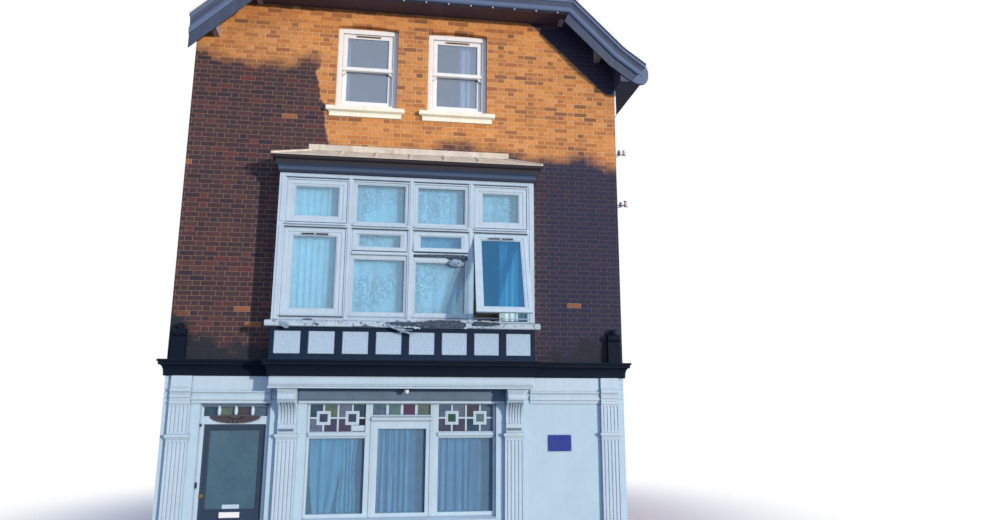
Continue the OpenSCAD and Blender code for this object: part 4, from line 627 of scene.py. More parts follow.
def woven(name, thread, shade, creases=0.0, streaks=0.0):
    """Plain weave, its threads drawn 6.6 mm apart. creases is how strong the painted shade and highlight of
    its fine creases are, and streaks how strong the painted shade and highlight of its folds are."""
    material, tree, shader, place = finish_named(name)
    scale = WAVE_LENGTH / THREAD_SPACING
    warp, weft = (add(tree, "TexWave", {"Vector": place, "Scale": scale, "Distortion": 0.5},
                      bands_direction=axis).node.outputs["Fac"] for axis in "XZ")
    weave = add(tree, "Math", {0: warp, 1: weft}, operation="MULTIPLY")
    cloud = add(tree, "TexNoise", {"Vector": place, "Scale": 4.0, "Detail": 5.0})
    colour = add(tree, "Mix", {"Factor": cloud, "A": paint(thread), "B": paint(shade)})
    if streaks:
        # vertical streaks of painted shade and painted highlight, as folds would have
        drawn = add(tree, "VectorMath", {0: place, 1: (17.0, 17.0, 0.35)}, operation="MULTIPLY")
        fold = add(tree, "TexNoise", {"Vector": drawn, "Scale": 1.0, "Detail": 4.0, "Roughness": 0.55})
        for low, high, code in ((0.48, 0.66, shade), (0.42, 0.3, "D5E6EE")):
            share = add(tree, "MapRange", {"Value": fold, "From Min": low, "From Max": high,
                                           "To Max": streaks})
            colour = add(tree, "Mix", {"Factor": share, "A": colour, "B": paint(code)})
    if creases:
        # the creases are 4 to 20 cm apart: each dark line is painted shade, with a painted highlight beside
        # it
        flat = add(tree, "VectorMath", {0: place, 1: (1.0, 0.0, 0.62)}, operation="MULTIPLY")
        bent = add(tree, "TexNoise", {"Vector": flat, "Scale": 3.4, "Detail": 3.0}).node.outputs["Color"]
        bent = add(tree, "VectorMath", {0: bent, "Scale": 0.4}, operation="SCALE")
        bent = add(tree, "VectorMath", {0: flat, 1: bent}, operation="ADD")
        where = add(tree, "TexNoise", {"Vector": place, "Scale": 1.9, "Detail": 2.0})
        where = add(tree, "MapRange", {"Value": where, "From Min": 0.38, "From Max": 0.56, "To Min": 0.12})
        for size, wide in ((5.0, 0.07), (11.0, 0.11), (23.0, 0.16)):
            cells = add(tree, "TexVoronoi", {"Vector": bent, "Scale": size}, feature="DISTANCE_TO_EDGE")
            ridge, crease_shade = (wide * 2.2, wide, creases * 0.6, "D8F2FA"), (wide, 0.0, creases, "2E5870")
            for low, high, deep, code in (ridge, crease_shade):
                line = add(tree, "MapRange", {"Value": cells, "From Min": low, "From Max": high,
                                              "To Max": deep})
                line = add(tree, "Math", {0: line, 1: where}, operation="MULTIPLY")
                colour = add(tree, "Mix", {"Factor": line, "A": colour, "B": paint(code)})
    bump = add(tree, "Bump", {"Height": weave, "Distance": 0.0006, "Strength": 0.5})
    feed(tree, shader, {"Base Color": colour, "Roughness": 0.85, "Sheen Weight": 0.25, "Normal": bump,
                        "Subsurface Weight": 0.15, "Subsurface Radius": (0.01, 0.01, 0.01)})
    return material


net = woven("polyester_net", "DAF6FC", "A0CCDE", creases=0.62)
clean_net = woven("hung_polyester_net", "DEF8FC", "B2DCE8", creases=0.16)
curtain_cloth = woven("cotton_curtain", "B9CBD2", "7C90A2", streaks=0.35)
teal_cloth = woven("teal_cotton_curtain", "86BCCB", "4F7F9E", streaks=0.5)
slate_cloth = woven("slate_cotton_curtain", "84A4C0", "465F84", streaks=0.55)
print("finishes:", len(bpy.data.materials))

# %% [markdown]
# Real edges are never perfectly sharp: a painted arris is rounded by a few millimetres and
# catches the light. The frame's meshes stay as they are. A Weld modifier joins their points,
# Decimate in its planar mode takes out the lines within a flat face, Bevel rounds the edges and
# Weighted Normal keeps the flat faces flat. Beveling in the frame itself would have cost many
# faces where nothing touches them.

# %% Dress the frame
DRESS = [
    (brick, 0, "gable_wall gable_piers gable_head party_wall right_wall rear_wall"),
    (brick_with_apron, 0, "front_walls_upper"),
    (brick_and_white, 0, "shop_beam"),
    (masonry_white, 0, "front_piers front_wall_right stall_riser"),
    (white_gloss, 3, "window_frames window_sashes corner_board"),
    (weathered_white, 4, "bay_frame bay_casements bay_cheeks"),
    (white_gloss, 0, "bay_ceiling curtain_rails"),
    (flaking_white, 5, "bay_sill"),
    (shop_white, 4, "shop_frieze name_board pilasters consoles shop_sill"),
    (shop_white, 3, "shop_frame shop_toplights door_frame"),
    (black_gloss, 4, "bay_base"),
    (fascia_black, 4, "bay_fascia"),
    (cornice_black, 4, "shop_cornice cornice_finials"),
    (stone_paint, 6, "window_sills"),
    (slate_blue, 3, "bargeboards side_eave_boards"),
    (bare_grey, 3, "purlin_ends"),
    (soffit_brown, 0, "soffits"),
    (shell_brown, 2, "shell_hood"),
    (tile, 0, "roof_left roof_right roof_half_hips ridge_tiles"),
    (lead, 3, "bay_roof bay_flashing"),
    (roughcast, 0, "bay_panels"),
    (pane_glass, 0, "window_glass"),
    (bay_pane, 0, "bay_glass"),
    (shop_glass, 0, "shop_glass"),
    (door_plum, 2, "door_leaf"),
    (obscure_glass, 1, "door_panes"),
    (brass, 1, "door_furniture"),
    (steel, 0, "door_knuckles hinge_pins"),
    (gutter_iron, 0, "side_gutter"),
    (floor_boards, 0, "first_floor second_floor"),
    (concrete, 0, "ground_floor"),
    (concrete, 6, "door_step"),
    (glazed, 0, "line_brackets"),
    (curtain_cloth, 0, "curtains"),
]


def round_edges(obj, width):
    """Rounds the sharp edges of a mesh by width, in metres."""
    bevel = obj.modifiers.new("round_edges", "BEVEL")
    bevel.width = width
    bevel.segments = 2
    bevel.limit_method = "ANGLE"
    bevel.angle_limit = math.radians(38)


def soften(obj, width):
    """Rounds the edges of a node of the frame and keeps its flat faces flat."""
    obj.modifiers.new("weld", "WELD").merge_threshold = 0.0001
    planar = obj.modifiers.new("planar", "DECIMATE")
    planar.decimate_type = "DISSOLVE"
    planar.angle_limit = math.radians(1.5)
    round_edges(obj, width)
    obj.modifiers.new("flat_faces", "WEIGHTED_NORMAL").keep_sharp = True


dressed = set()
for material, millimetres, names in DRESS:
    for name in names.split():
        nodes[name].data.materials.clear()
        nodes[name].data.materials.append(material)
        dressed.add(name)
        if millimetres:
            soften(nodes[name], millimetres / 1000)
print("dressed", len(dressed), "of", len(nodes), "nodes; left:", sorted(set(nodes) - dressed))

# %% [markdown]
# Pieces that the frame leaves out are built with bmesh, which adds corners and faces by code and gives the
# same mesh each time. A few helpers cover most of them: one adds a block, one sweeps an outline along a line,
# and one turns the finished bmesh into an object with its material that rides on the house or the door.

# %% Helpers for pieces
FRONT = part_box("gable_wall")[0].y
HALF_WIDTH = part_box("gable_wall")[1].x


def piece(name, bm, material, body="house", edges=0.0, smooth=False, solid=True):
    """Turns a bmesh into an object that rides on a body. Faces of a solid are turned outwards."""
    mesh = bpy.data.meshes.new(name)
    if solid:
        bmesh.ops.recalc_face_normals(bm, faces=bm.faces)
    bm.normal_update()
    bm.to_mesh(mesh)
    bm.free()
    mesh.materials.append(material)
    for face in mesh.polygons:
        face.use_smooth = smooth
    made = bpy.data.objects.new(name, mesh)
    bpy.context.scene.collection.objects.link(made)
    if edges:
        round_edges(made, edges)
    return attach(made, body)


BLOCK_FACES = [(0, 2, 3, 1), (4, 5, 7, 6), (0, 1, 5, 4), (2, 6, 7, 3), (0, 4, 6, 2), (1, 3, 7, 5)]


def block(bm, low, high):
    """Adds a block from its lowest to its highest corner."""
    xs, ys, zs = zip(low, high)
    made = [bm.verts.new((x, y, z)) for z in zs for y in ys for x in xs]
    for face in BLOCK_FACES:
        bm.faces.new([made[i] for i in face])


def sweep(bm, rings):
    """Joins rings of points with faces and caps both ends."""
    made = [[bm.verts.new(point) for point in ring] for ring in rings]
    count = len(made[0])
    for a, b in zip(made, made[1:]):
        for i in range(count):
            j = (i + 1) % count
            bm.faces.new((a[i], a[j], b[j], b[i]))
    bm.faces.new(list(reversed(made[0])))
    bm.faces.new(made[-1])


def lathe(bm, profile, base, axis="Z", steps=24):
    """Turns a profile of (radius, height) about an axis through base."""
    rings = []
    for radius, height in profile:
        ring = []
        for i in range(steps):
            a = 2 * math.pi * i / steps
            x, y = radius * math.cos(a), radius * math.sin(a)
            turned = {"Z": (x, y, height), "Y": (x, -height, y), "X": (height, x, y)}[axis]
            ring.append(Vector(base) + Vector(turned))
        rings.append(ring)
    sweep(bm, rings)


# %% [markdown]
# The roof has plain clay tiles, 165 by 265 mm, laid to a gauge of 100 mm, so that each shows
# 100 mm of its length. Bump would do for a roof seen from far off, but the side and rear views
# look along it, so the lower 170 mm of every tile is a real cambered plate of fourteen faces.
# One function lays a slope row by row from the eave up, moves every second row by half a tile
# and shakes every tile a little with a seeded random. The hips cut the slopes as a saw would.

# %% Roof tiles
TILE_WIDE, TILE_LONG, TILE_THICK, GAUGE = 0.165, 0.17, 0.012, 0.1
CAMBER, SIDE_GAP, TAIL_DROP = 0.004, 0.003, 0.02
SLOPE = 0.9827
RIDGE_END, RIDGE_Z = 2.1967, 11.55
HIP_X, HIP_Y, HIP_Z = 2.6356, 4.37, 8.96
KICK = (3.47, 8.1402)
EAVE = (3.84, 7.8713)
LEFT_FOOT = (HALF_WIDTH, RIDGE_Z - HALF_WIDTH * SLOPE)
TOP = (0.05, RIDGE_Z - 0.05 * SLOPE)
HIP_LINE = [(HIP_Y, HIP_Z), (RIDGE_END + 0.05, RIDGE_Z - 0.06)]


def lay_tiles(bm, line, along, out, width, rng):
    """Lays rows up a slope. line runs from the eave to the top as (out, z) pairs, along is the
    direction of a row, out the direction that the slope faces in plan, width how far rows run."""
    lengths = [math.dist(a, b) for a, b in zip(line, line[1:])]

    def on_line(s):
        for (a, b), length in zip(zip(line, line[1:]), lengths):
            if s <= length or (a, b) == (line[-2], line[-1]):
                t = s / length
                return Vector((a[0] + (b[0] - a[0]) * t, a[1] + (b[1] - a[1]) * t))
            s -= length

    rows = int(sum(lengths) / GAUGE) + 1
    for row in range(rows):
        foot = row * GAUGE - TAIL_DROP
        tail, head = on_line(foot), on_line(min(foot + TILE_LONG, sum(lengths)))
        slope = (head - tail).normalized()
        normal = Vector((slope.y, -slope.x))
        count = int(width / TILE_WIDE) + 2
        first = -width / 2 - (0.5 if row % 2 else 0.0) * TILE_WIDE
        for i in range(count):
            left = first + i * TILE_WIDE + SIDE_GAP / 2
            right_edge = min(left + TILE_WIDE - SIDE_GAP, width / 2)
            left = max(left, -width / 2)
            if right_edge - left < 0.02:
                continue
            lift = rng.uniform(-0.0015, 0.003)
            slip = rng.uniform(-0.004, 0.004) - (0.03 if rng.random() < 0.004 else 0)
            skew = rng.uniform(-0.004, 0.004)
            rings = []
            for u in (0, 1 / 3, 2 / 3, 1):
                bulge = CAMBER * (1 - (2 * u - 1) ** 2)
                place = left + (right_edge - left) * u
                tail_point = tail + slope * (slip + skew * (u - 0.5) * 2)
                ring = []
                for base, layers in ((tail_point, 1), (tail_point, 2), (head, 1), (head, 0)):
                    spot = base + normal * (layers * TILE_THICK + bulge + lift)
                    ring.append(out * spot.x + along * place + Vector((0, 0, spot.y)))
                rings.append(ring)
            sweep(bm, rings)


def cut_away(bm, point, normal):
    """Cuts off what lies on the side that normal points to, and closes the cut."""
    found = bmesh.ops.bisect_plane(bm, geom=bm.verts[:] + bm.edges[:] + bm.faces[:], plane_co=point,
                                   plane_no=normal, clear_outer=True)
    edges = [item for item in found["geom_cut"] if isinstance(item, bmesh.types.BMEdge)]
    bmesh.ops.holes_fill(bm, edges=edges)


# each slope with the side or the end that it faces, and its line from the eave up
SLOPES = [("roof_tiles_right", 1, 0, [EAVE, KICK, TOP]), ("roof_tiles_left", -1, 0, [LEFT_FOOT, TOP]),
          ("roof_tiles_front_hip", 0, -1, HIP_LINE), ("roof_tiles_rear_hip", 0, 1, HIP_LINE)]
rng = random.Random(7)
for name, side, end, line in SLOPES:
    bm = bmesh.new()
    along, out = Vector((abs(end), abs(side), 0)), Vector((side, end, 0))
    lay_tiles(bm, line, along, out, 2 * (HIP_X if end else HIP_Y), rng)
    for other in (-1, 1):
        # the plane stands on the line of a hip: a main slope ends there, and so does a half hip
        x, y = side or other, end or other
        apex = Vector((0, y * RIDGE_END, 0))
        corner = Vector((x * HIP_X, y * HIP_Y, 0))
        cut_away(bm, apex, (corner - apex).cross(Vector((0, 0, 1))) * (x * y if end else -x * y))
    made = piece(name, bm, tile)
    print(name, len(made.data.polygons), "faces")

# %% [markdown]
# Half-round clay tiles cover the ridge and the hips, each 300 mm long and lapped over the next
# one below. An Array modifier along a curve would bend them, and real ones are straight, so each
# tile is its own short shell: wider at its lower end, where it laps, and turned by a hair.

# %% Ridge and hip tiles
def half_round_line(bm, start, end, radius, rng):
    """Lays half-round tiles from the lower end of a line to its upper end."""
    start, end = Vector(start), Vector(end)
    along = (end - start).normalized()
    sideways = along.cross(Vector((0, 0, 1))).normalized()
    upward = sideways.cross(along)
    count = max(1, round((end - start).length / 0.3))
    step = (end - start) / count
    for i in range(count):
        low_end = start + step * i - along * 0.012
        high_end = start + step * (i + 1)
        turn = rng.uniform(-0.02, 0.02)
        rings = []
        for place, r in ((low_end, radius + 0.005), (high_end, radius - 0.009)):
            arc = [math.radians(a) + turn for a in range(-92, 93, 23)]
            outer = [place + sideways * (r * math.sin(a)) + upward * (r * math.cos(a)) for a in arc]
            inner = [place + sideways * ((r - 0.014) * math.sin(a)) + upward * ((r - 0.014) * math.cos(a))
                     for a in reversed(arc)]
            rings.append(outer + inner)
        sweep(bm, rings)


rng = random.Random(11)
bm = bmesh.new()
half_round_line(bm, (0, -RIDGE_END, RIDGE_Z), (0, RIDGE_END, RIDGE_Z), 0.112, rng)
for end in (-1, 1):
    for side in (-1, 1):
        half_round_line(bm, (side * HIP_X, end * HIP_Y, HIP_Z), (0, end * RIDGE_END, RIDGE_Z), 0.112, rng)
ridge = piece("half_round_tiles", bm, tile)
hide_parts("ridge_tiles")
print("half-round tiles:", len(ridge.data.polygons), "faces")

# %% [markdown]
# A thin bright strip closes the edge of the tiles along each sloping verge. It follows the same
# line as the bargeboard below it, so it is a small outline swept along each straight part of
# that line, on the front and again on the rear.

# %% Verge strips
VERGES = [[(HIP_X, HIP_Z), KICK, EAVE], [(-HIP_X, HIP_Z), (-LEFT_FOOT[0], LEFT_FOOT[1])]]
STRIP_IN, STRIP_OUT = HIP_Y - 0.03, 0.062
STRIP = [(STRIP_IN, 0.004), (STRIP_IN, 0.034), (HIP_Y + STRIP_OUT - 0.012, 0.034), (HIP_Y + STRIP_OUT, 0.026),
         (HIP_Y + STRIP_OUT, 0.004)]
bm = bmesh.new()
for end in (-1, 1):
    for line in VERGES:
        for (x0, z0), (x1, z1) in zip(line, line[1:]):
            along = Vector((x1 - x0, 0, z1 - z0)).normalized()
            above = Vector((-along.z, 0, along.x))
            if above.z < 0:
                above = -above
            rings = []
            for place in (Vector((x0, 0, z0)) - along * 0.004, Vector((x1, 0, z1)) + along * 0.004):
                rings.append([place + above * height + Vector((0, end * out, 0)) for out, height in STRIP])
            sweep(bm, rings)
piece("verge_strips", bm, white_gloss, edges=0.002)
print("verge strips stand", STRIP_OUT, "m out of the tiles")

# %% [markdown]
# Each sash window has the small parts that make it read as one: a ledge on the meeting rail, a
# curved horn below each end of it and a slotted vent in the top rail. They are the same on all
# twelve windows, so they are drawn once in the window's own directions, and a list of matrices
# sets them into the front, rear and side walls.

# %% Sash window trim
SASH_W, SASH_H = 0.98, 1.40
FRAME_FACE, SASH_FACE = 0.08, 0.075
REVEAL = 0.075
UPPER_FACE = REVEAL + 0.022
MEETING_FOOT = FRAME_FACE + (SASH_H - 2 * FRAME_FACE) - (SASH_H - 2 * FRAME_FACE + SASH_FACE) / 2
REAR = -FRONT
rear_turn = Matrix.Rotation(math.pi, 4, "Z")
side_turn = Matrix.Rotation(math.pi / 2, 4, "Z")
PAIR, STOREYS = (-0.738, 0.738), [1.0, 4.0, 7.0]
window_places = [Matrix.Translation((x, FRONT, STOREYS[2])) for x in PAIR]
window_places += [Matrix.Translation((x, REAR, z)) @ rear_turn for x in PAIR for z in STOREYS]
window_places += [Matrix.Translation((HALF_WIDTH, y, z)) @ side_turn
                  for y in (-1.7, 1.7) for z in STOREYS[:2]]


def outline(bm, points, y0, y1, place=None):
    """Makes a flat outline of (x, z) points solid from y0 to y1, set in place by a matrix."""
    place = place or Matrix.Identity(4)
    sweep(bm, [[place @ Vector((x, y, z)) for x, z in points] for y in (y0, y1)])


def bar(bm, low, high, place):
    """A block between two corners, set in place by a matrix."""
    (x0, y0, z0), (x1, y1, z1) = low, high
    outline(bm, [(x0, z0), (x1, z0), (x1, z1), (x0, z1)], y0, y1, place)


half_inner = SASH_W / 2 - FRAME_FACE
horn = [(0, 0), (SASH_FACE - 0.004, 0), (SASH_FACE - 0.012, -0.018), (0.044, -0.034), (0.03, -0.046),
        (0.02, -0.062), (0, -0.062)]
trim = bmesh.new()
vents = bmesh.new()
slots = bmesh.new()
for place in window_places:
    bar(trim, (-half_inner + 0.002, UPPER_FACE - 0.016, MEETING_FOOT + 0.008),
        (half_inner - 0.002, UPPER_FACE, MEETING_FOOT + SASH_FACE - 0.006), place)
    for side in (-1, 1):
        points = [(side * (-half_inner + 0.001 + x), MEETING_FOOT + z) for x, z in horn]
        outline(trim, points, UPPER_FACE + 0.001, UPPER_FACE + 0.034, place)
    top = SASH_H - FRAME_FACE - SASH_FACE / 2
    bar(vents, (-0.2, UPPER_FACE - 0.009, top - 0.012), (0.2, UPPER_FACE, top + 0.014), place)
    bar(slots, (-0.17, UPPER_FACE - 0.0105, top - 0.006), (0.17, UPPER_FACE - 0.009, top + 0.003), place)
vent_gold = speckled("anodised_gold_aluminium", [(0.3, "7A5A34"), (0.7, "A37C48")], 30.0, 0.0003, 0.42,
                     metal=0.6)
# the vent slots are dark strips: painted shade inside the openings
dark_slot = speckled("painted_shade_in_a_slot", [(0.3, "191615"), (0.7, "2A2523")], 40.0, 0.0003, 0.9)
piece("sash_ledges_and_horns", trim, white_gloss, edges=0.003)
piece("sash_vents", vents, vent_gold, edges=0.003)
piece("sash_vent_slots", slots, dark_slot, edges=0.0004)
print("trimmed", len(window_places), "sash windows")

# %% [markdown]
# Cloth hangs behind the front windows: cotton curtains in the shop and on the second floor, nets
# in the bay. Blender's Cloth could gather them, but a curtain on a rail takes a shape that is
# known beforehand: folds that start tight at the top, wander a little and open towards the hem.
# Sums of sines with seeded phases draw that at once, and the length of a row of points says how
# wide the cloth was before it was gathered.

# %% Curtains and nets
def hang(name, material, left, right, top, hem, plane, folds, deep, seed, drift=0.0, held=0.0):
    """Hangs one cloth between left and right. folds is their number, deep their depth in metres,
    drift how far the hem wanders sideways and held how far the sides are pulled in halfway down."""
    rng = random.Random(seed)
    across = max(28, int(folds * 12))
    down = 26
    phases = [rng.uniform(0, 6.28) for _ in range(6)]
    widths = [rng.uniform(0.7, 1.3) for _ in range(4)]
    bm = bmesh.new()
    rows = []
    for j in range(down + 1):
        v = j / down
        row = []
        waist = 1 - held * math.sin(math.pi * min(1, v * 1.15)) ** 2
        for i in range(across + 1):
            u = i / across
            bend = u + 0.045 * math.sin(2 * math.pi * u * widths[0] + phases[0]) * (0.4 + 0.6 * v)
            turn = 2 * math.pi * folds * bend + 0.7 * math.sin(5 * u * widths[1] + phases[1])
            open_out = 0.55 + 0.45 * v
            fold = math.sin(turn + 0.5 * v * math.sin(3 * u + phases[2])) * open_out
            fold += 0.35 * math.sin(2.1 * turn + phases[3] + 1.5 * v) * (1 - 0.4 * v)
            crumple = 0.1 * math.sin(9 * v + 13 * u + phases[4])
            x = left + (right - left) * (0.5 + (u - 0.5) * waist) + drift * v * v * (u - 0.35)
            y = plane + deep * (fold + crumple) / 1.4
            z = top - (top - hem) * v + 0.004 * math.sin(turn) * v
            row.append(bm.verts.new((x, y, z)))
        rows.append(row)
    for a, b in zip(rows, rows[1:]):
        for i in range(across):
            bm.faces.new((a[i], b[i], b[i + 1], a[i + 1]))
    made = piece(name, bm, material, smooth=True, solid=False)
    solid = made.modifiers.new("cloth_thickness", "SOLIDIFY")
    solid.thickness = 0.0012
    solid.offset = 0
    return made


BEHIND = 0.033
BAY, SASH, SHOP = (FRONT + back + BEHIND for back in (-0.27, 0.185, 0.15))
curtain_list = [
    hang("curtain_sash_left", curtain_cloth, -1.14, -1.03, 8.36, 7.03, SASH, 2, 0.018, 3),
    hang("curtain_sash_right", curtain_cloth, 0.79, 1.145, 8.36, 7.03, SASH, 5, 0.018, 4),
    hang("net_bay_0", clean_net, -1.815, -0.92, 5.62, 3.56, BAY, 8, 0.006, 5),
    hang("net_bay_1", net, -0.84, -0.01, 5.62, 3.56, BAY, 3, 0.008, 6, drift=0.02),
    hang("net_bay_2", net, 0.08, 0.91, 5.62, 3.56, BAY, 4, 0.010, 7, drift=-0.03),
    hang("net_bay_3", net, 0.995, 1.815, 5.62, 4.91, BAY, 3, 0.008, 8),
    hang("curtain_bay_3", clean_net, 1.41, 1.815, 4.91, 3.56, BAY, 4, 0.016, 9),
    hang("curtain_shop_left", teal_cloth, -1.36, -0.88, 1.87, 0.75, SHOP, 2, 0.014, 12, drift=-0.24),
    hang("curtain_shop_tied", teal_cloth, -0.93, -0.66, 1.87, 0.75, SHOP, 4, 0.016, 21, held=0.25),
    hang("curtain_shop_behind", slate_cloth, -1.18, -0.56, 1.87, 0.75, SHOP + 1.4 * BEHIND, 4, 0.012, 22),
    hang("curtain_shop_middle", slate_cloth, -0.372, 0.09, 1.97, 0.75, SHOP, 5, 0.020, 13),
    hang("curtain_shop_plain", slate_cloth, 0.07, 0.352, 1.97, 0.75, SHOP + BEHIND, 1, 0.006, 23),
    hang("curtain_shop_right", slate_cloth, 0.53, 1.06, 1.87, 0.75, SHOP, 5, 0.020, 15),
    hang("curtain_shop_right_plain", slate_cloth, 1.04, 1.36, 1.87, 0.75, SHOP + BEHIND, 2, 0.008, 24),
]
for cloth in curtain_list:
    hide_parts("curtains")

# %% [markdown]
# The base of the bay has eight panels of roughcast: wet mortar with gravel thrown on it, under
# limewash. Their edges catch the light, so the gravel is real relief here. Each panel is a grid
# of points 9 mm apart, pushed out by noise, with a smooth rim where it meets the timber.

# %% Roughcast panels
def roughcast_panel(bm, left, foot, wide, high, face, back):
    """A panel whose front stands a few millimetres proud of face, towards the street."""
    nx, nz = int(wide / 0.009), int(high / 0.009)
    grid = []
    for j in range(nz + 1):
        row = []
        for i in range(nx + 1):
            x, z = left + wide * i / nx, foot + high * j / nz
            rim = min(i, nx - i, j, nz - j) / 2.5
            gravel = noise.noise(Vector((x, 0, z)) * 55) + 0.6 * noise.noise(Vector((x, 3, z)) * 120)
            row.append(bm.verts.new((x, face - 0.004 - 0.005 * gravel * min(1.0, rim), z)))
        grid.append(row)
    for a, b in zip(grid, grid[1:]):
        for i in range(nx):
            bm.faces.new((a[i], a[i + 1], b[i + 1], b[i]))
    ring = grid[0] + [row[-1] for row in grid[1:]] + grid[-1][-2::-1] + [row[0] for row in grid[-2:0:-1]]
    rear = [bm.verts.new((v.co.x, back, v.co.z)) for v in ring]
    for i in range(len(ring)):
        j = (i + 1) % len(ring)
        bm.faces.new((ring[j], ring[i], rear[i], rear[j]))
    bm.faces.new(rear)


panel_low, panel_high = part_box("bay_panels")
PANELS, PANEL_W = 8, 0.375
pitch = (panel_high.x - panel_low.x - PANEL_W) / (PANELS - 1)
bm = bmesh.new()
for i in range(PANELS):
    roughcast_panel(bm, panel_low.x + i * pitch, panel_low.z, PANEL_W, panel_high.z - panel_low.z,
                    panel_low.y, panel_high.y)
cast = piece("roughcast_panels", bm, roughcast, smooth=True)
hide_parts("bay_panels")
print("roughcast:", len(cast.data.polygons), "faces")

# %% [markdown]
# The bay has more relief than its frame: a nosing that throws water off the transom, cover
# strips on the mullions, and slotted vents in the lower casements. The open casement hangs from
# its head and stands out by 20 degrees, so its vent is set on it by the same turn.

# %% Trim of the bay
def moulding(bm, profile, x0, x1, face, foot):
    """Sweeps a profile of (out, up) along the front from x0 to x1."""
    sweep(bm, [[Vector((x, face - out, foot + up)) for out, up in profile] for x in (x0, x1)])


_, BAY_FACE, BAY_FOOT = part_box("bay_frame")[0]
MULLIONS = [-0.88, 0.035, 0.95]
LIGHTS = [(-1.82, -0.925), (-0.835, -0.01), (0.08, 0.905), (0.995, 1.82)]
TRANSOM = 4.98
NOSING = [(0.0, 0.0), (0.020, -0.006), (0.026, -0.016), (0.024, -0.028), (0.012, -0.034), (0.0, -0.034)]
LIP = [(0.0, 0.0), (0.010, 0.0), (0.012, -0.006), (0.004, -0.014), (0.0, -0.014)]
bm = bmesh.new()
for left, right_edge in LIGHTS:
    moulding(bm, NOSING, left + 0.004, right_edge - 0.004, BAY_FACE, TRANSOM - 0.002)
    for z in (5.69, 3.60):
        moulding(bm, LIP, left - 0.02, right_edge + 0.02, BAY_FACE, z)
for x in MULLIONS + [-1.875, 1.875]:
    for z0, z1 in ((BAY_FOOT + 0.005, TRANSOM - 0.045), (TRANSOM + 0.01, 5.67)):
        block(bm, (x - 0.019, BAY_FACE - 0.007, z0), (x + 0.019, BAY_FACE, z1))
piece("bay_nosings_and_strips", bm, weathered_white, edges=0.003)

OPEN_TURN = math.radians(20)
CASEMENT_FACE, CASEMENT_HEAD = BAY_FACE + 0.012, 4.8997
hung = Matrix.Translation((0, CASEMENT_FACE, CASEMENT_HEAD))
opened = hung @ Matrix.Rotation(-OPEN_TURN, 4, "X")
covers, cuts = bmesh.new(), bmesh.new()
for place, (left, right_edge) in ((hung, LIGHTS[0]), (opened, LIGHTS[3])):
    middle = (left + right_edge) / 2
    bar(covers, (middle - 0.20, -0.007, -0.106), (middle + 0.20, 0.012, -0.076), place)
    for x0, x1 in ((-0.19, -0.012), (0.012, 0.19)):
        bar(cuts, (middle + x0, -0.0085, -0.102), (middle + x1, -0.007, -0.08), place)
piece("bay_vents", covers, weathered_white, edges=0.002)
piece("bay_vent_slots", cuts, dark_slot, edges=0.0004)
print("bay: nosings on", len(LIGHTS), "lights, strips on", len(MULLIONS), "mullions and both posts")

# %% [markdown]
# The small panes over the shop window and the door are rolled glass, coloured in the melt, a
# different colour from pane to pane. In the side lights each group is four panes like the letter
# L round a small square. One L is written as six points and mirrored into the other corners.
# Each colour is a mesh of its own, so that each keeps one simple material.

# %% Coloured glass
GLASS = {
    "teal": ("1F3A4A", "335468"), "olive": ("45564E", "65796F"), "mauve": ("4C566E", "6C7890"),
    "plum": ("36364E", "4C4A66"), "navy": ("2A3650", "3C4C68"), "slate": ("3A5268", "546E88"),
    "maroon": ("3E2C48", "543C5C"), "green": ("1D3E38", "325C4E"), "sea": ("3E6268", "62847F"),
    "brown": ("38343F", "4C4854"), "ink": ("0E131B", "1A222E"),
}
LEAD, SQUARE, BAR = 0.026, 0.150, 0.040
lead_low, lead_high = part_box("shop_toplights")
SIDE_LIGHTS = [(lead_low.x, -0.552), (0.532, lead_high.x)]
MIDDLE_LIGHT = (-0.45, 0.41)
MIDDLE_FOOT = 2.172
PANE_FACE = lead_low.y + 0.008
MOTIFS = [("teal", "olive", "mauve", "plum", "navy"), ("mauve", "teal", "plum", "ink", "navy"),
          ("slate", "mauve", "plum", "plum", "green"), ("brown", "slate", "teal", "slate", "sea")]
FAN_LEFT, FAN_RIGHT = -2.855, -1.963
FAN_FOOT, FAN_HEAD = 2.156, 2.315
FAN_FACE = FRONT + 0.06

panes = {colour: bmesh.new() for colour in GLASS}


def pane(colour, points, face):
    """One flat pane, 7 mm thick, added to the mesh of its colour."""
    outline(panes[colour], points, face, face + 0.007)


def group(left, foot, wide, high, colours, face):
    """Four L-shaped panes and a square, from the top left: left, right, left, right, middle."""
    inner_x, inner_z = (wide - SQUARE) / 2, (high - SQUARE) / 2
    half_x, half_z = (wide - LEAD) / 2, (high - LEAD) / 2
    corner = [(0, 0), (half_x, 0), (half_x, inner_z - LEAD), (inner_x - LEAD, inner_z - LEAD),
              (inner_x - LEAD, half_z), (0, half_z)]
    sides = [(False, True), (True, True), (False, False), (True, False)]
    for colour, (from_right, from_top) in zip(colours, sides):
        pane(colour, [(left + (wide - x if from_right else x), foot + (high - z if from_top else z))
                      for x, z in corner], face)
    x0, z0 = left + inner_x, foot + inner_z
    pane(colours[4], [(x0, z0), (x0 + SQUARE, z0), (x0 + SQUARE, z0 + SQUARE), (x0, z0 + SQUARE)], face)


def row(left, right_edge, foot, head, colours, face):
    """A row of panes with a bar between each two."""
    wide = (right_edge - left - BAR * (len(colours) - 1)) / len(colours)
    for i, colour in enumerate(colours):
        x = left + i * (wide + BAR)
        pane(colour, [(x, foot), (x + wide, foot), (x + wide, head), (x, head)], face)


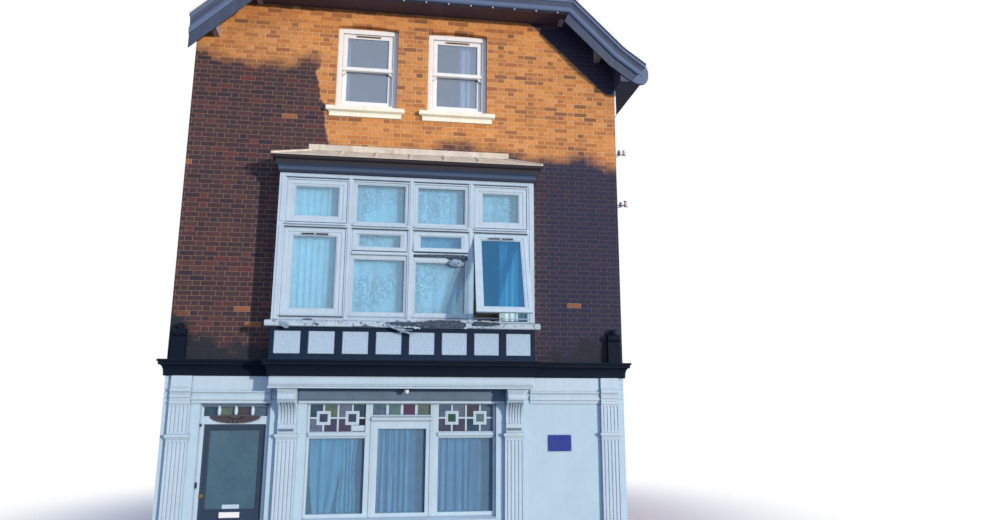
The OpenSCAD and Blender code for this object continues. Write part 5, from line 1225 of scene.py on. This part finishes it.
for i, colours in enumerate(MOTIFS):
    x0, x1 = SIDE_LIGHTS[i // 2]
    wide = (x1 - x0 - LEAD) / 2
    group(x0 + (i % 2) * (wide + LEAD), lead_low.z, wide, lead_high.z - lead_low.z, colours, PANE_FACE)
row(*MIDDLE_LIGHT, MIDDLE_FOOT, lead_high.z, ("slate", "sea", "maroon", "olive"), PANE_FACE)
row(FAN_LEFT, FAN_RIGHT, FAN_FOOT, FAN_HEAD, ("teal", "olive", "brown", "slate"), FAN_FACE + 0.021)
for colour, (dark, light) in GLASS.items():
    rolled = speckled("rolled_glass_" + colour, [(0.34, dark), (0.66, light)], 16.0, 0.002, 0.16)
    piece("panes_" + colour, panes[colour], rolled)
print("coloured panes:", len(GLASS), "colours")

# %% [markdown]
# Between the small panes over the door stand half balusters, turned on a lathe and split. A
# profile of radius and height, turned about an upright axis, is just how the real one was made.

# %% Balusters over the door
BALUSTER = [(0.024, 0), (0.027, 0.008), (0.021, 0.014), (0.023, 0.030), (0.027, 0.058), (0.027, 0.088),
            (0.024, 0.112), (0.020, 0.124), (0.028, 0.131), (0.028, 0.143), (0.024, 0.1585)]
bm = bmesh.new()
COUNT = 3
pane_wide = (FAN_RIGHT - FAN_LEFT - COUNT * BAR) / (COUNT + 1)
for i in range(COUNT):
    x = FAN_LEFT + (i + 1) * pane_wide + (i + 0.5) * BAR
    lathe(bm, BALUSTER, (x, FAN_FACE - 0.002, FAN_FOOT), steps=20)
piece("door_balusters", bm, shop_white, smooth=True)
print("balusters:", COUNT)

# %% [markdown]
# The door has a bead round its pane, a bare plate at the foot of the pane and a white flap over
# its letter slot. They ride on the door, so they swing with it. The bell push and the catch on
# the left post stay with the house.

# %% On and beside the door
leaf_low, leaf_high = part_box("door_leaf")
STILE, RAIL_FOOT, RAIL_HEAD = 0.082, 0.725, 0.855
PANEL_FOOT = leaf_low.z + 0.21
pane_face = leaf_low.y + 0.014


def surround(bm, outer, inner, y0, y1, place=None):
    """Four mitred lengths between two rectangles, each given as left, foot, right and head."""
    rims = [[(r[0], r[1]), (r[2], r[1]), (r[2], r[3]), (r[0], r[3])] for r in (outer, inner)]
    for i in range(4):
        j = (i + 1) % 4
        outline(bm, [rims[0][i], rims[0][j], rims[1][j], rims[1][i]], y0, y1, place)


bm = bmesh.new()
for foot, head, wide in ((RAIL_HEAD, leaf_high.z - STILE, 0.014), (PANEL_FOOT, RAIL_FOOT, 0.018)):
    outer = (leaf_low.x + STILE, foot, leaf_high.x - STILE, head)
    inner = (outer[0] + wide, foot + wide, outer[2] - wide, head - wide)
    surround(bm, outer, inner, pane_face - 0.010, pane_face)
piece("door_beads", bm, door_plum, body="door", edges=0.004)
bm = bmesh.new()
slot_low, slot_high = -2.55, -2.27
block(bm, (slot_low, leaf_low.y - 0.014, 0.750), (slot_high, leaf_low.y - 0.0065, 0.826))
block(bm, (slot_low + 0.02, leaf_low.y - 0.018, 0.764), (slot_high - 0.02, leaf_low.y - 0.013, 0.812))
piece("letter_flap", bm, white_gloss, body="door", edges=0.003)
bm = bmesh.new()
block(bm, (-2.52, pane_face - 0.004, 0.857), (-2.285, pane_face - 0.0002, 0.926))
piece("bare_door_plate", bm, shop_white, body="door", edges=0.0015)
bm = bmesh.new()
post_x = leaf_low.x - 0.034
for z0, z1 in ((1.160, 1.240), (2.012, 2.046)):
    block(bm, (post_x - 0.011, FAN_FACE - 0.014, z0), (post_x + 0.011, FAN_FACE, z1))
    button = [(0.007, 0.0), (0.007, 0.004), (0.004, 0.006)]
    lathe(bm, button, (post_x, FAN_FACE - 0.014, (z0 + z1) / 2), "Y", 14)
piece("post_fittings", bm, black_gloss, edges=0.002)
print("door pieces ride on the door, between x =", round(leaf_low.x, 3), "and", round(leaf_high.x, 3))

# %% [markdown]
# The timber of the shop front throws its water off with rounded nosings on each transom, and a
# bead and a fillet finish the foot of the name board. They are short outlines swept from side
# to side, with their ends left square where they die against a post.

# %% Mouldings of the shop front
def half_round(out, high, steps=8):
    """Outline of a rounded nosing, flat against what carries it."""
    return [(out * math.sin(math.pi * i / steps), high * (1 - math.cos(math.pi * i / steps)) / 2)
            for i in range(steps + 1)]


SHOP_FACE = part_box("shop_frame")[0].y
board_low, board_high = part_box("name_board")
BOARD_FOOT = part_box("consoles")[1].z
FILLET = [(0, 0), (0.007, 0), (0.007, 0.012), (0, 0.012)]
middle = (-0.465, 0.425, SHOP_FACE)
board = (board_low.x + 0.016, board_high.x - 0.016, board_low.y + 0.010)
bm = bmesh.new()
for x0, x1 in SIDE_LIGHTS:
    moulding(bm, half_round(0.024, 0.060), x0 - 0.012, x1 + 0.012, SHOP_FACE, 1.858)
moulding(bm, half_round(0.034, 0.058), *middle, 2.082)
moulding(bm, half_round(0.012, 0.018), *middle, 2.146)
moulding(bm, half_round(0.010, 0.018), *board, BOARD_FOOT + 0.030)
moulding(bm, FILLET, *board, BOARD_FOOT + 0.058)
for x in (-0.46, 0.42):
    block(bm, (x - 0.012, SHOP_FACE - 0.008, 0.73), (x + 0.012, SHOP_FACE, 2.08))
piece("shop_nosings", bm, shop_white, edges=0.0015)
print("nosings stand on a face at y =", round(SHOP_FACE, 3))

# %% [markdown]
# A short lamp hangs under the name board, and two bare boards are fixed to the front: a white
# notice in a toplight, and at the right of the shop window an enamelled blue plate, held by four
# screws. An image could give them a face, but flat colour, dirt in the corners and a rounded
# edge that catches the light are all that a bare board needs.

# %% Lamp, notice and plate
bm = bmesh.new()
lamp_x, lamp_y = 0.04, board_low.y + 0.17
lathe(bm, [(0.012, 0.0), (0.034, -0.004), (0.036, -0.012), (0.033, -0.05), (0.028, -0.064), (0.014, -0.072)],
      (lamp_x, lamp_y, BOARD_FOOT), steps=28)
piece("board_lamp", bm, white_gloss, smooth=True)
bm = bmesh.new()
SWITCH_BOX = [(0.010, 0.0), (0.019, -0.003), (0.019, -0.026), (0.010, -0.034)]
lathe(bm, SWITCH_BOX, (lamp_x - 0.062, lamp_y, BOARD_FOOT), steps=20)
piece("lamp_switch_box", bm, black_gloss, smooth=True)
bm = bmesh.new()
block(bm, (-0.745, lead_low.y - 0.006, 1.940), (-0.555, lead_low.y - 0.0003, 2.020))
piece("bare_notice", bm, shop_white, edges=0.0015)
PLATE_LOW, PLATE_HIGH = (2.198, 1.634), (2.557, 1.873)
bm = bmesh.new()
block(bm, (PLATE_LOW[0], FRONT - 0.012, PLATE_LOW[1]), (PLATE_HIGH[0], FRONT - 0.0003, PLATE_HIGH[1]))
plate_blue = painted("enamelled_steel_plate", "16308A", grime="3C3A88", runs=0.08, blotch=0.1, gloss=0.3)
piece("bare_blue_plate", bm, plate_blue, edges=0.003)
bm = bmesh.new()
for x in (PLATE_LOW[0] + 0.016, PLATE_HIGH[0] - 0.016):
    for z in (PLATE_LOW[1] + 0.016, PLATE_HIGH[1] - 0.016):
        screw = [(0.006, -0.0005), (0.006, 0.0015), (0.003, 0.0028)]
        lathe(bm, screw, (x, FRONT - 0.012, z), "Y", 14)
piece("plate_screws", bm, steel, smooth=True)
plate_wide, plate_high = PLATE_HIGH[0] - PLATE_LOW[0], PLATE_HIGH[1] - PLATE_LOW[1]
print("plate:", round(plate_wide, 3), "by", round(plate_high, 3), "m, bare")

# %% [markdown]
# Two old line brackets stand out of the right wall near its front edge. Each is a flat iron
# plate with a bent arm and a brace, and carries glazed porcelain: one insulator on a pin and a
# ribbed reel at the end of the arm. The arm is a round bar along a few points, and the
# porcelain is turned on the lathe, as a potter turns it.

# %% Line brackets
def bar_along(bm, points, radius, steps=10):
    """A round bar through points. Each ring stands square to the bisector of its bend."""
    points = [Vector(p) for p in points]
    rings = []
    for i, point in enumerate(points):
        before = (point - points[i - 1]).normalized() if i else (points[1] - point).normalized()
        after = (points[i + 1] - point).normalized() if i + 1 < len(points) else before
        along = (before + after).normalized()
        side = along.cross(Vector((0, 1, 0.01))).normalized()
        other = along.cross(side)
        rings.append([point + (side * math.cos(a) + other * math.sin(a)) * radius
                      for a in (2 * math.pi * k / steps for k in range(steps))])
    sweep(bm, rings)


REEL = [(0.010, 0.0), (0.030, 0.002), (0.034, 0.010), (0.030, 0.018), (0.021, 0.024), (0.021, 0.032),
        (0.031, 0.038), (0.034, 0.046), (0.030, 0.054), (0.018, 0.060), (0.018, 0.068), (0.026, 0.074),
        (0.028, 0.082), (0.020, 0.092), (0.008, 0.096)]
CONE = [(0.008, 0.0), (0.016, 0.002), (0.026, 0.012), (0.030, 0.040), (0.022, 0.062), (0.013, 0.074),
        (0.007, 0.078)]
RIBS = [(0.010, 0.0)]
for k in range(7):
    RIBS += [(0.026, 0.004 + 0.012 * k), (0.019, 0.010 + 0.012 * k)]
RIBS += [(0.008, 0.09)]
DISC = [(0.004, 0.0), (0.034, 0.002), (0.036, 0.006), (0.034, 0.010), (0.004, 0.012)]
BOLT = [(0.010, 0.0), (0.010, 0.006), (0.005, 0.008)]
BRACKET_Y = FRONT + 0.09
PIN_AT, REEL_AT = 0.085, 0.172


def by_wall(z, *spots):
    """Points beside the right wall, from their distances out of it and up from z."""
    return [(HALF_WIDTH + out, BRACKET_Y, z + up) for out, up in spots]


iron, reels, cones, discs = (bmesh.new() for _ in range(4))
for z in (6.453, 5.568):
    block(iron, (HALF_WIDTH + 0.0003, BRACKET_Y - 0.035, z - 0.07),
          (HALF_WIDTH + 0.009, BRACKET_Y + 0.035, z + 0.07))
    arm = by_wall(z, (0.006, 0), (0.10, 0), (0.155, 0.004), (REEL_AT, 0.026), (REEL_AT, 0.062))
    bar_along(iron, arm, 0.009)
    bar_along(iron, by_wall(z, (0.008, -0.058), (0.092, -0.004)), 0.006)
    for side in (-0.05, 0.05):
        lathe(iron, BOLT, *by_wall(z, (0.009, side)), "X", 8)
    bar_along(iron, by_wall(z, (PIN_AT, -0.004), (PIN_AT, 0.05)), 0.007)
    if z > 6:
        lathe(cones, CONE, *by_wall(z, (PIN_AT, 0.008)), steps=20)
        lathe(reels, REEL, *by_wall(z, (REEL_AT, -0.006)))
    else:
        lathe(cones, RIBS, *by_wall(z, (PIN_AT, -0.03)), steps=20)
        lathe(reels, REEL, *by_wall(z, (REEL_AT, -0.02)))
        lathe(discs, DISC, *by_wall(z, (REEL_AT, 0.072)))
bracket_iron = painted("black_painted_iron", "1B1D22", bare="5A3A2A", grime="3C3A3C", wear=0.14, gloss=0.55)
cone_glaze = speckled("purple_glazed_porcelain", [(0.3, "5C5C7C"), (0.7, "8386A2")], 14.0, 0.0006, 0.24)
disc_glaze = speckled("white_glazed_porcelain", [(0.3, "D8D6D8"), (0.7, "EEECEC")], 14.0, 0.0006, 0.22)
for name, bm, material, slot in (
        ("bracket_arms", iron, bracket_iron, "steel"), ("bracket_reels", reels, glazed, "insulator"),
        ("bracket_cones", cones, cone_glaze, "insulator"), ("bracket_discs", discs, disc_glaze, "insulator")):
    made = piece(name, bm, material, smooth=name != "bracket_arms")
    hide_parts("line_brackets")
print("brackets stand", round(REEL_AT + REEL[2][0], 3), "m out of the wall")

# %% [markdown]
# The panes of the bay are smaller than their casements: each sits in a stepped glazing frame, wider at the
# foot. A frame is four mitred lengths between two rectangles, so one function takes both, and a table gives
# how far each light steps in. The dark gaps under the head, the transom and the casements are open on the
# real bay. Here they are strips of painted shade, 10 to 16 mm high.

# %% Glazing frames of the bay
CASEMENT_STILE, STEP_IN = 0.0603, 0.016
FIXED_FACE, HUNG_FACE = BAY_FACE + 0.014, CASEMENT_FACE + 0.006
VENT_FOOT, FIXED_HEAD = 4.58, 4.51
FOOT_EDGE, HEAD_EDGE, TRANSOM_FOOT = 3.55, 5.64, 4.90
vent_hung = hung @ Matrix.Rotation(-math.radians(6), 4, "X")
# light, foot, head, whether it is hung, how it is turned, and the steps at side, foot and head
GLAZED = [
    (0, TRANSOM, HEAD_EDGE, True, None, (0.076, 0.052, 0.044)),
    (3, TRANSOM, HEAD_EDGE, True, None, (0.076, 0.052, 0.044)),
    (1, TRANSOM, HEAD_EDGE, False, None, (0.056, 0.042, 0.046)),
    (2, TRANSOM, HEAD_EDGE, False, None, (0.056, 0.052, 0.058)),
    (0, FOOT_EDGE, TRANSOM_FOOT, True, None, (0.080, 0.096, 0.066)),
    (3, FOOT_EDGE, TRANSOM_FOOT, True, opened, (0.056, 0.050, 0.060)),
    (1, VENT_FOOT, TRANSOM_FOOT, True, None, (0.050, 0.004, 0.020)),
    (2, VENT_FOOT, TRANSOM_FOOT, True, vent_hung, (0.050, 0.004, 0.020)),
    (1, FOOT_EDGE, FIXED_HEAD, False, None, (0.042, 0.112, 0.070)),
    (2, FOOT_EDGE, FIXED_HEAD, False, None, (0.042, 0.112, 0.092)),
]
bm = bmesh.new()
for light, foot, head, hung_light, turned, (side, low_step, high_step) in GLAZED:
    left, right_edge = LIGHTS[light]
    stile = CASEMENT_STILE if hung_light else 0
    outer = [left + stile - 0.002, foot + stile - 0.002, right_edge - stile + 0.002, head - stile + 0.002]
    inner = [outer[0] + side, outer[1] + low_step, outer[2] - side, outer[3] - high_step]
    middle = [inner[0] - STEP_IN, inner[1] - min(STEP_IN, low_step / 2), inner[2] + STEP_IN,
              inner[3] + min(STEP_IN, high_step / 2)]
    face = HUNG_FACE if hung_light else FIXED_FACE
    back = CASEMENT_FACE + 0.0192 if hung_light else BAY_FACE + 0.0398
    if turned:
        outer, middle, inner = ([r[0], r[1] - CASEMENT_HEAD, r[2], r[3] - CASEMENT_HEAD]
                                for r in (outer, middle, inner))
        face, back = face - CASEMENT_FACE, back - CASEMENT_FACE
    surround(bm, outer, middle, face, back, turned)
    surround(bm, middle, inner, face + 0.006, back, turned)
left, right_edge = LIGHTS[1]
moulding(bm, half_round(0.016, 0.05), left + 0.004, right_edge - 0.004, BAY_FACE, FIXED_HEAD + 0.004)
piece("bay_glazing_frames", bm, weathered_white, edges=0.002)

# each gap with its lights, how far it runs beyond them, the face it lies on, its foot and its head
ALL, OUTER, INNER = (0, 1, 2, 3), (0, 3), (1, 2)
GAPS = [(ALL, 0.012, BAY_FACE, 5.660, 5.675), (ALL, 0.012, BAY_FACE, 4.902, 4.918),
        (OUTER, -0.008, CASEMENT_FACE, 4.9805, 4.991), (INNER, -0.008, BAY_FACE, 4.566, 4.578),
        ((0,), 0.01, BAY_FACE, 3.572, 3.583)]
bm = bmesh.new()
for lights, beyond, face, z0, z1 in GAPS:
    for light in lights:
        left, right_edge = LIGHTS[light]
        block(bm, (left - beyond, face - 0.0014, z0), (right_edge + beyond, face - 0.0002, z1))
gap_shade = speckled("painted_shade_in_joinery_gaps", [(0.3, "2B3644"), (0.7, "3C4A5A")], 40.0, 0.0003, 0.9)
piece("bay_gaps", bm, gap_shade)
print("glazing frames:", len(GLAZED), "lights")

# %% [markdown]
# The sill of the bay has lost its paint right of the middle, and the wood below is dark and soft.
# A texture alone would leave the edge of the paint flat, so each bare patch is a sheet of points
# that follows the sill's own face, pressed up and down by noise, between two ragged lines. Paint
# has curled off along those lines in flakes, and splinters hang from the sill.

# %% Rotten wood and loose paint
def on_path(path, s):
    """Point and outward direction at length s along a path of (y, z)."""
    for a, b in zip(path, path[1:]):
        length = math.dist(a, b)
        if s <= length or (a, b) == (path[-2], path[-1]):
            along = Vector((0, b[0] - a[0], b[1] - a[1])) / length
            return Vector((0, *a)) + along * min(s, length), Vector((0, -along.z, along.y))
        s -= length


def between(stops, x):
    """Low and high line at x, from stops of (x, low, high)."""
    for a, b in zip(stops, stops[1:]):
        if x <= b[0]:
            t = (x - a[0]) / (b[0] - a[0])
            return a[1] + (b[1] - a[1]) * t, a[2] + (b[2] - a[2]) * t
    return stops[-1][1:]


def ragged(x, seed):
    """Wanders by about 8 mm either way along a broken edge."""
    return 0.012 * noise.noise(Vector((x * 11, seed, 0))) + 0.009 * noise.noise(Vector((x * 47, seed, 5)))


def rotten_patch(bm, path, stops, seed, rows=14, step=0.006):
    """A sheet of rotten wood on a path, between the low and high lines of its stops."""
    total = sum(math.dist(a, b) for a, b in zip(path, path[1:]))
    columns = max(4, int((stops[-1][0] - stops[0][0]) / step))
    front, rear = [], []
    for i in range(columns + 1):
        x = stops[0][0] + (stops[-1][0] - stops[0][0]) * i / columns
        low, high = between(stops, x)
        low = max(0.0, low + (ragged(x, seed) if low > 0 else 0))
        high = min(total, max(low + 0.004, high + ragged(x, seed + 3)))
        for rows_of, proud in ((front, 1), (rear, -1)):
            line = []
            for j in range(rows + 1):
                s = low + (high - low) * j / rows
                spot, out = on_path(path, s)
                rim = min(i, columns - i, j, rows - j) / 2
                bulge = 0.0025 + 0.0035 * noise.noise(Vector((x * 9, s * 90, seed))) * min(1, rim)
                spot += out * (bulge if proud > 0 else -0.001)
                line.append(bm.verts.new((x, spot.y, spot.z)))
            rows_of.append(line)
    for i in range(columns):
        for j in range(rows):
            bm.faces.new((front[i][j], front[i + 1][j], front[i + 1][j + 1], front[i][j + 1]))
            bm.faces.new((rear[i][j + 1], rear[i + 1][j + 1], rear[i + 1][j], rear[i][j]))
        bm.faces.new((front[i][0], rear[i][0], rear[i + 1][0], front[i + 1][0]))
        bm.faces.new((front[i + 1][rows], rear[i + 1][rows], rear[i][rows], front[i][rows]))
    for i in (0, columns):
        for j in range(rows):
            bm.faces.new((front[i][j], front[i][j + 1], rear[i][j + 1], rear[i][j]))


def flake(bm, spot, out, long, wide, curl, turn):
    """A curled flake of paint that starts at a spot and lifts away along out."""
    side = Vector((math.cos(turn), 0, math.sin(turn)))
    along = Vector((-math.sin(turn), 0, math.cos(turn)))
    rings = []
    for k in range(5):
        t = k / 4
        centre = spot + along * long * t + out * (0.001 + curl * t * t)
        half = side * wide * 0.5 * (1 - 0.45 * t * t)
        thick = out * 0.0014
        rings.append([centre - half, centre + half, centre + half + thick, centre - half + thick])
    sweep(bm, rings)


_, SILL_FACE, SILL_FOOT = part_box("bay_sill")[0]
SILL_PATH = [(SILL_FACE - 0.0003, SILL_FOOT + 0.004), (SILL_FACE - 0.0003, BAY_FOOT - 0.022),
             (BAY_FACE - 0.0003, BAY_FOOT + 0.0003), (BAY_FACE - 0.0003, BAY_FOOT + 0.030)]
RAIL_PATH = [(FIXED_FACE - 0.001, 4.425), (FIXED_FACE - 0.001, 4.505), (BAY_FACE - 0.001, 4.506),
             (BAY_FACE - 0.001, 4.562)]
BARE = [
    [(-0.30, 0.050, 0.068), (-0.20, 0.030, 0.080), (-0.08, 0.012, 0.100), (0.10, 0.012, 0.090),
     (0.20, 0.0, 0.12), (0.34, 0.0, 0.176), (0.60, 0.0, 0.182), (0.80, 0.0, 0.175), (0.88, 0.018, 0.09)],
    [(0.965, 0.055, 0.09), (1.0, 0.030, 0.168), (1.20, 0.028, 0.165), (1.33, 0.042, 0.140),
     (1.40, 0.062, 0.085)],
    [(-1.49, 0.156, 0.160), (-1.44, 0.150, 0.172), (-1.39, 0.148, 0.174), (-1.34, 0.157, 0.161)],
    [(-1.30, 0.030, 0.036), (-1.27, 0.004, 0.044), (-1.24, 0.026, 0.032)],
    [(-0.72, 0.0, 0.004), (-0.58, 0.0, 0.016), (-0.44, 0.0, 0.004)],
]
BARE_RAIL = [(0.085, 0.085, 0.13), (0.30, 0.088, 0.135), (0.56, 0.084, 0.14), (0.66, 0.03, 0.14),
             (0.86, 0.02, 0.14), (0.90, 0.06, 0.12)]
bm = bmesh.new()
for seed, stops in enumerate(BARE):
    rotten_patch(bm, SILL_PATH, stops, seed * 7 + 1)
rotten_patch(bm, RAIL_PATH, BARE_RAIL, 61)
rotten = speckled("rotten_softwood", [(0.34, "18212E"), (0.47, "2E3E50"), (0.57, "4C6074"), (0.68, "8A9098")],
                  26.0, 0.004, 0.92)
piece("sill_bare_wood", bm, rotten, smooth=True)

rng = random.Random(29)
bm = bmesh.new()
for seed, stops in enumerate(BARE[:2]):
    x = stops[0][0]
    while x < stops[-1][0]:
        low, high = between(stops, x)
        for s in (low, high):
            if 0 < s < 0.17 and rng.random() < 0.75:
                spot, out = on_path(SILL_PATH, s)
                turn = rng.uniform(-0.6, 0.6) + (math.pi if s == low else 0)
                flake(bm, spot + Vector((x, 0, 0)) + out * 0.003, out, rng.uniform(0.012, 0.034),
                      rng.uniform(0.02, 0.055), rng.uniform(0.004, 0.016), turn)
        x += rng.uniform(0.022, 0.05)
for x in [rng.uniform(-1.95, -0.35) for _ in range(16)] + [rng.uniform(1.42, 1.95) for _ in range(4)]:
    spot, out = on_path(SILL_PATH, rng.uniform(0.02, 0.07))
    flake(bm, spot + Vector((x, 0, 0)), out, rng.uniform(0.01, 0.022), rng.uniform(0.02, 0.05),
          rng.uniform(0.003, 0.009), rng.uniform(-0.7, 0.7))
piece("sill_paint_flakes", bm, weathered_white)

bm = bmesh.new()
SPLINTERS = [((-0.300, 3.488), (0.140, 3.336), 0.034), ((-0.255, 3.462), (0.060, 3.352), 0.020),
             ((-0.180, 3.470), (0.100, 3.392), 0.016)]
for k, ((x0, z0), (x1, z1), wide) in enumerate(SPLINTERS):
    start = Vector((x0, SILL_FACE - 0.004 - 0.004 * k, z0))
    end = Vector((x1, SILL_FACE - 0.006 + 0.006 * k, z1))
    along = (end - start).normalized()
    across = Vector((along.z, 0, -along.x))
    rings = []
    for i in range(13):
        t = i / 12
        sag = 0.018 * math.sin(math.pi * t) + 0.004 * math.sin(9 * t + k)
        centre = start.lerp(end, t) + across * sag + Vector((0, -0.010 * math.sin(math.pi * t), 0))
        half = across * wide * 0.5 * (0.35 + 0.65 * math.sin(math.pi * min(0.999, 0.12 + t * 0.85)))
        thick = Vector((0, 0.006, 0))
        rings.append([centre - half, centre + half, centre + half - thick, centre - half - thick])
    sweep(bm, rings)
chip = [(-1.806, 3.500), (-1.735, 3.496), (-1.672, 3.474), (-1.660, 3.402), (-1.706, 3.398), (-1.776, 3.436)]
outline(bm, chip, SILL_FACE - 0.010, SILL_FACE - 0.0005)
split_wood = speckled("split_painted_softwood", [(0.34, "4C5A6C"), (0.46, "748AA2"), (0.6, "9CB2C6"),
                                                 (0.72, "B8B8AC")], 22.0, 0.003, 0.85)
piece("sill_splinters", bm, split_wood, edges=0.0012)

bm = bmesh.new()
bmesh.ops.create_icosphere(bm, subdivisions=4, radius=1)
for v in bm.verts:
    lumpy = 1 + 0.32 * noise.noise(v.co * 2.3) + 0.12 * noise.noise(v.co * 7)
    droop = 0.020 * max(0.0, v.co.x) ** 2
    x, y, z = v.co
    v.co = (0.725 + 0.115 * x * lumpy, FIXED_FACE - 0.010 + 0.020 * y * lumpy,
            4.424 - droop + 0.056 * z * lumpy)
piece("rail_loose_lump", bm, split_wood, smooth=True)
print("bare patches:", len(BARE) + 1, "splinters:", len(SPLINTERS))

# %% [markdown]
# Small trim completes the street front: beads round the little squares of the toplights, the crown of the
# shell below the lights of the door and two rolls on each console. A board in the recess below the name
# board, a moulding over the lights of the door and a strip across each console are painted shade. They are
# short swept outlines.

# %% Small trim of the shop front
bm = bmesh.new()
for i in range(len(MOTIFS)):
    x0, x1 = SIDE_LIGHTS[i // 2]
    wide, high = (x1 - x0 - LEAD) / 2, lead_high.z - lead_low.z
    left = x0 + (i % 2) * (wide + LEAD) + (wide - SQUARE) / 2
    foot = lead_low.z + (high - SQUARE) / 2
    rims = [(left - out, foot - out, left + SQUARE + out, foot + SQUARE + out) for out in (0.003, -0.017)]
    surround(bm, *rims, lead_low.y - 0.003, lead_low.y + 0.0078)
piece("toplight_beads", bm, shop_white, edges=0.0012)

# a blue-grey paint that is painted shade: in the recess, over the door's lights and on the consoles
shade_white = painted("white_paint_in_painted_shade", "60778E", grime="3C4C60", runs=0.3, blotch=0.3, gloss=0.6)
bm = bmesh.new()
RECESS_X, RECESS_FACE = 1.526, FRONT - 0.025
block(bm, (-RECESS_X, RECESS_FACE - 0.006, 2.395), (RECESS_X, RECESS_FACE - 0.0003, BOARD_FOOT - 0.0005))
moulding(bm, half_round(0.012, 0.016), -RECESS_X, RECESS_X, RECESS_FACE, 2.378)
HOOD = [(0, 0), (0.020, 0), (0.034, 0.026), (0.036, 0.052), (0, 0.052)]
moulding(bm, HOOD, FAN_LEFT + 0.002, FAN_RIGHT - 0.002, FAN_FACE, 2.286)
console_low, console_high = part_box("consoles")
CONSOLE_W, CONSOLE_SLOT = 0.255, FRONT - 0.0772
CONSOLES = (console_low.x + 0.1375, console_high.x - 0.1375)
for x in CONSOLES:
    block(bm, (x - 0.106, CONSOLE_SLOT - 0.0016, 1.949), (x + 0.106, CONSOLE_SLOT, 1.981))
piece("recess_shade_board", bm, shade_white, edges=0.0015)

bm = bmesh.new()
for x in CONSOLES:
    for out, high, inset, foot in ((0.016, 0.090, 0.004, 2.392), (0.006, 0.010, 0.012, 2.498)):
        moulding(bm, half_round(out, high), x - CONSOLE_W / 2 + inset, x + CONSOLE_W / 2 - inset,
                 console_low.y + 0.008, foot)
piece("console_rolls", bm, shop_white, edges=0.0015)

shell_low, shell_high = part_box("shell_hood")
bm = bmesh.new()
middle_x, half_wide = (shell_low.x + shell_high.x) / 2, (shell_high.x - shell_low.x) / 2 - 0.01
CROWN, STEPS = 0.024, 20
angles = [math.pi * i / STEPS for i in range(STEPS + 1)]
arc = [(middle_x + half_wide * math.cos(a), shell_high.z - 0.002 + CROWN * math.sin(a)) for a in angles]
outline(bm, arc, shell_low.y + 0.004, shell_high.y + 0.002)
piece("shell_crown", bm, shell_brown, edges=0.003)
print("recess board:", round(2 * RECESS_X, 3), "m long")

# %% [markdown]
# At the foot of the free side the moulded verge board ends in a rounded nose, and a plain board
# closes the end of the boxed eave behind it. Both are flat outlines cut from a plank, made once
# for the street and mirrored for the rear. Small white caps hang in a row from the level board.

# %% Ends of the eave
NOSE = [(3.585, 7.572), (3.640, 7.532), (3.700, 7.514), (3.765, 7.514), (3.820, 7.535), (3.856, 7.578),
        (3.874, 7.640), (3.878, 7.710), (3.872, 7.770), (3.840, 7.800), (3.780, 7.770), (3.700, 7.690)]
EAVE_END = [(3.4145, 7.5745), (3.7755, 7.5745), (3.7755, 7.885), (3.640, 7.975), (3.4145, 8.125)]
bm = bmesh.new()
for end in (-1, 1):
    outline(bm, NOSE, end * (HIP_Y + 0.046), end * (HIP_Y + 0.001))
    outline(bm, EAVE_END, end * (HIP_Y - 0.0005), end * (HIP_Y - 0.016))
piece("eave_ends", bm, slate_blue, edges=0.005)
caps = bmesh.new()
CAP = [(0.010, -0.0004), (0.013, 0.004), (0.012, 0.012), (0.007, 0.018)]
for end in (-1, 1):
    for i in range(14):
        lathe(caps, CAP, (-2.353 + 0.362 * i, end * (HIP_Y + 0.030), HIP_Z - 0.248 - 0.0176), steps=12)
piece("verge_caps", caps, white_gloss, smooth=True)
print("eave ends reach x =", NOSE[7][0])
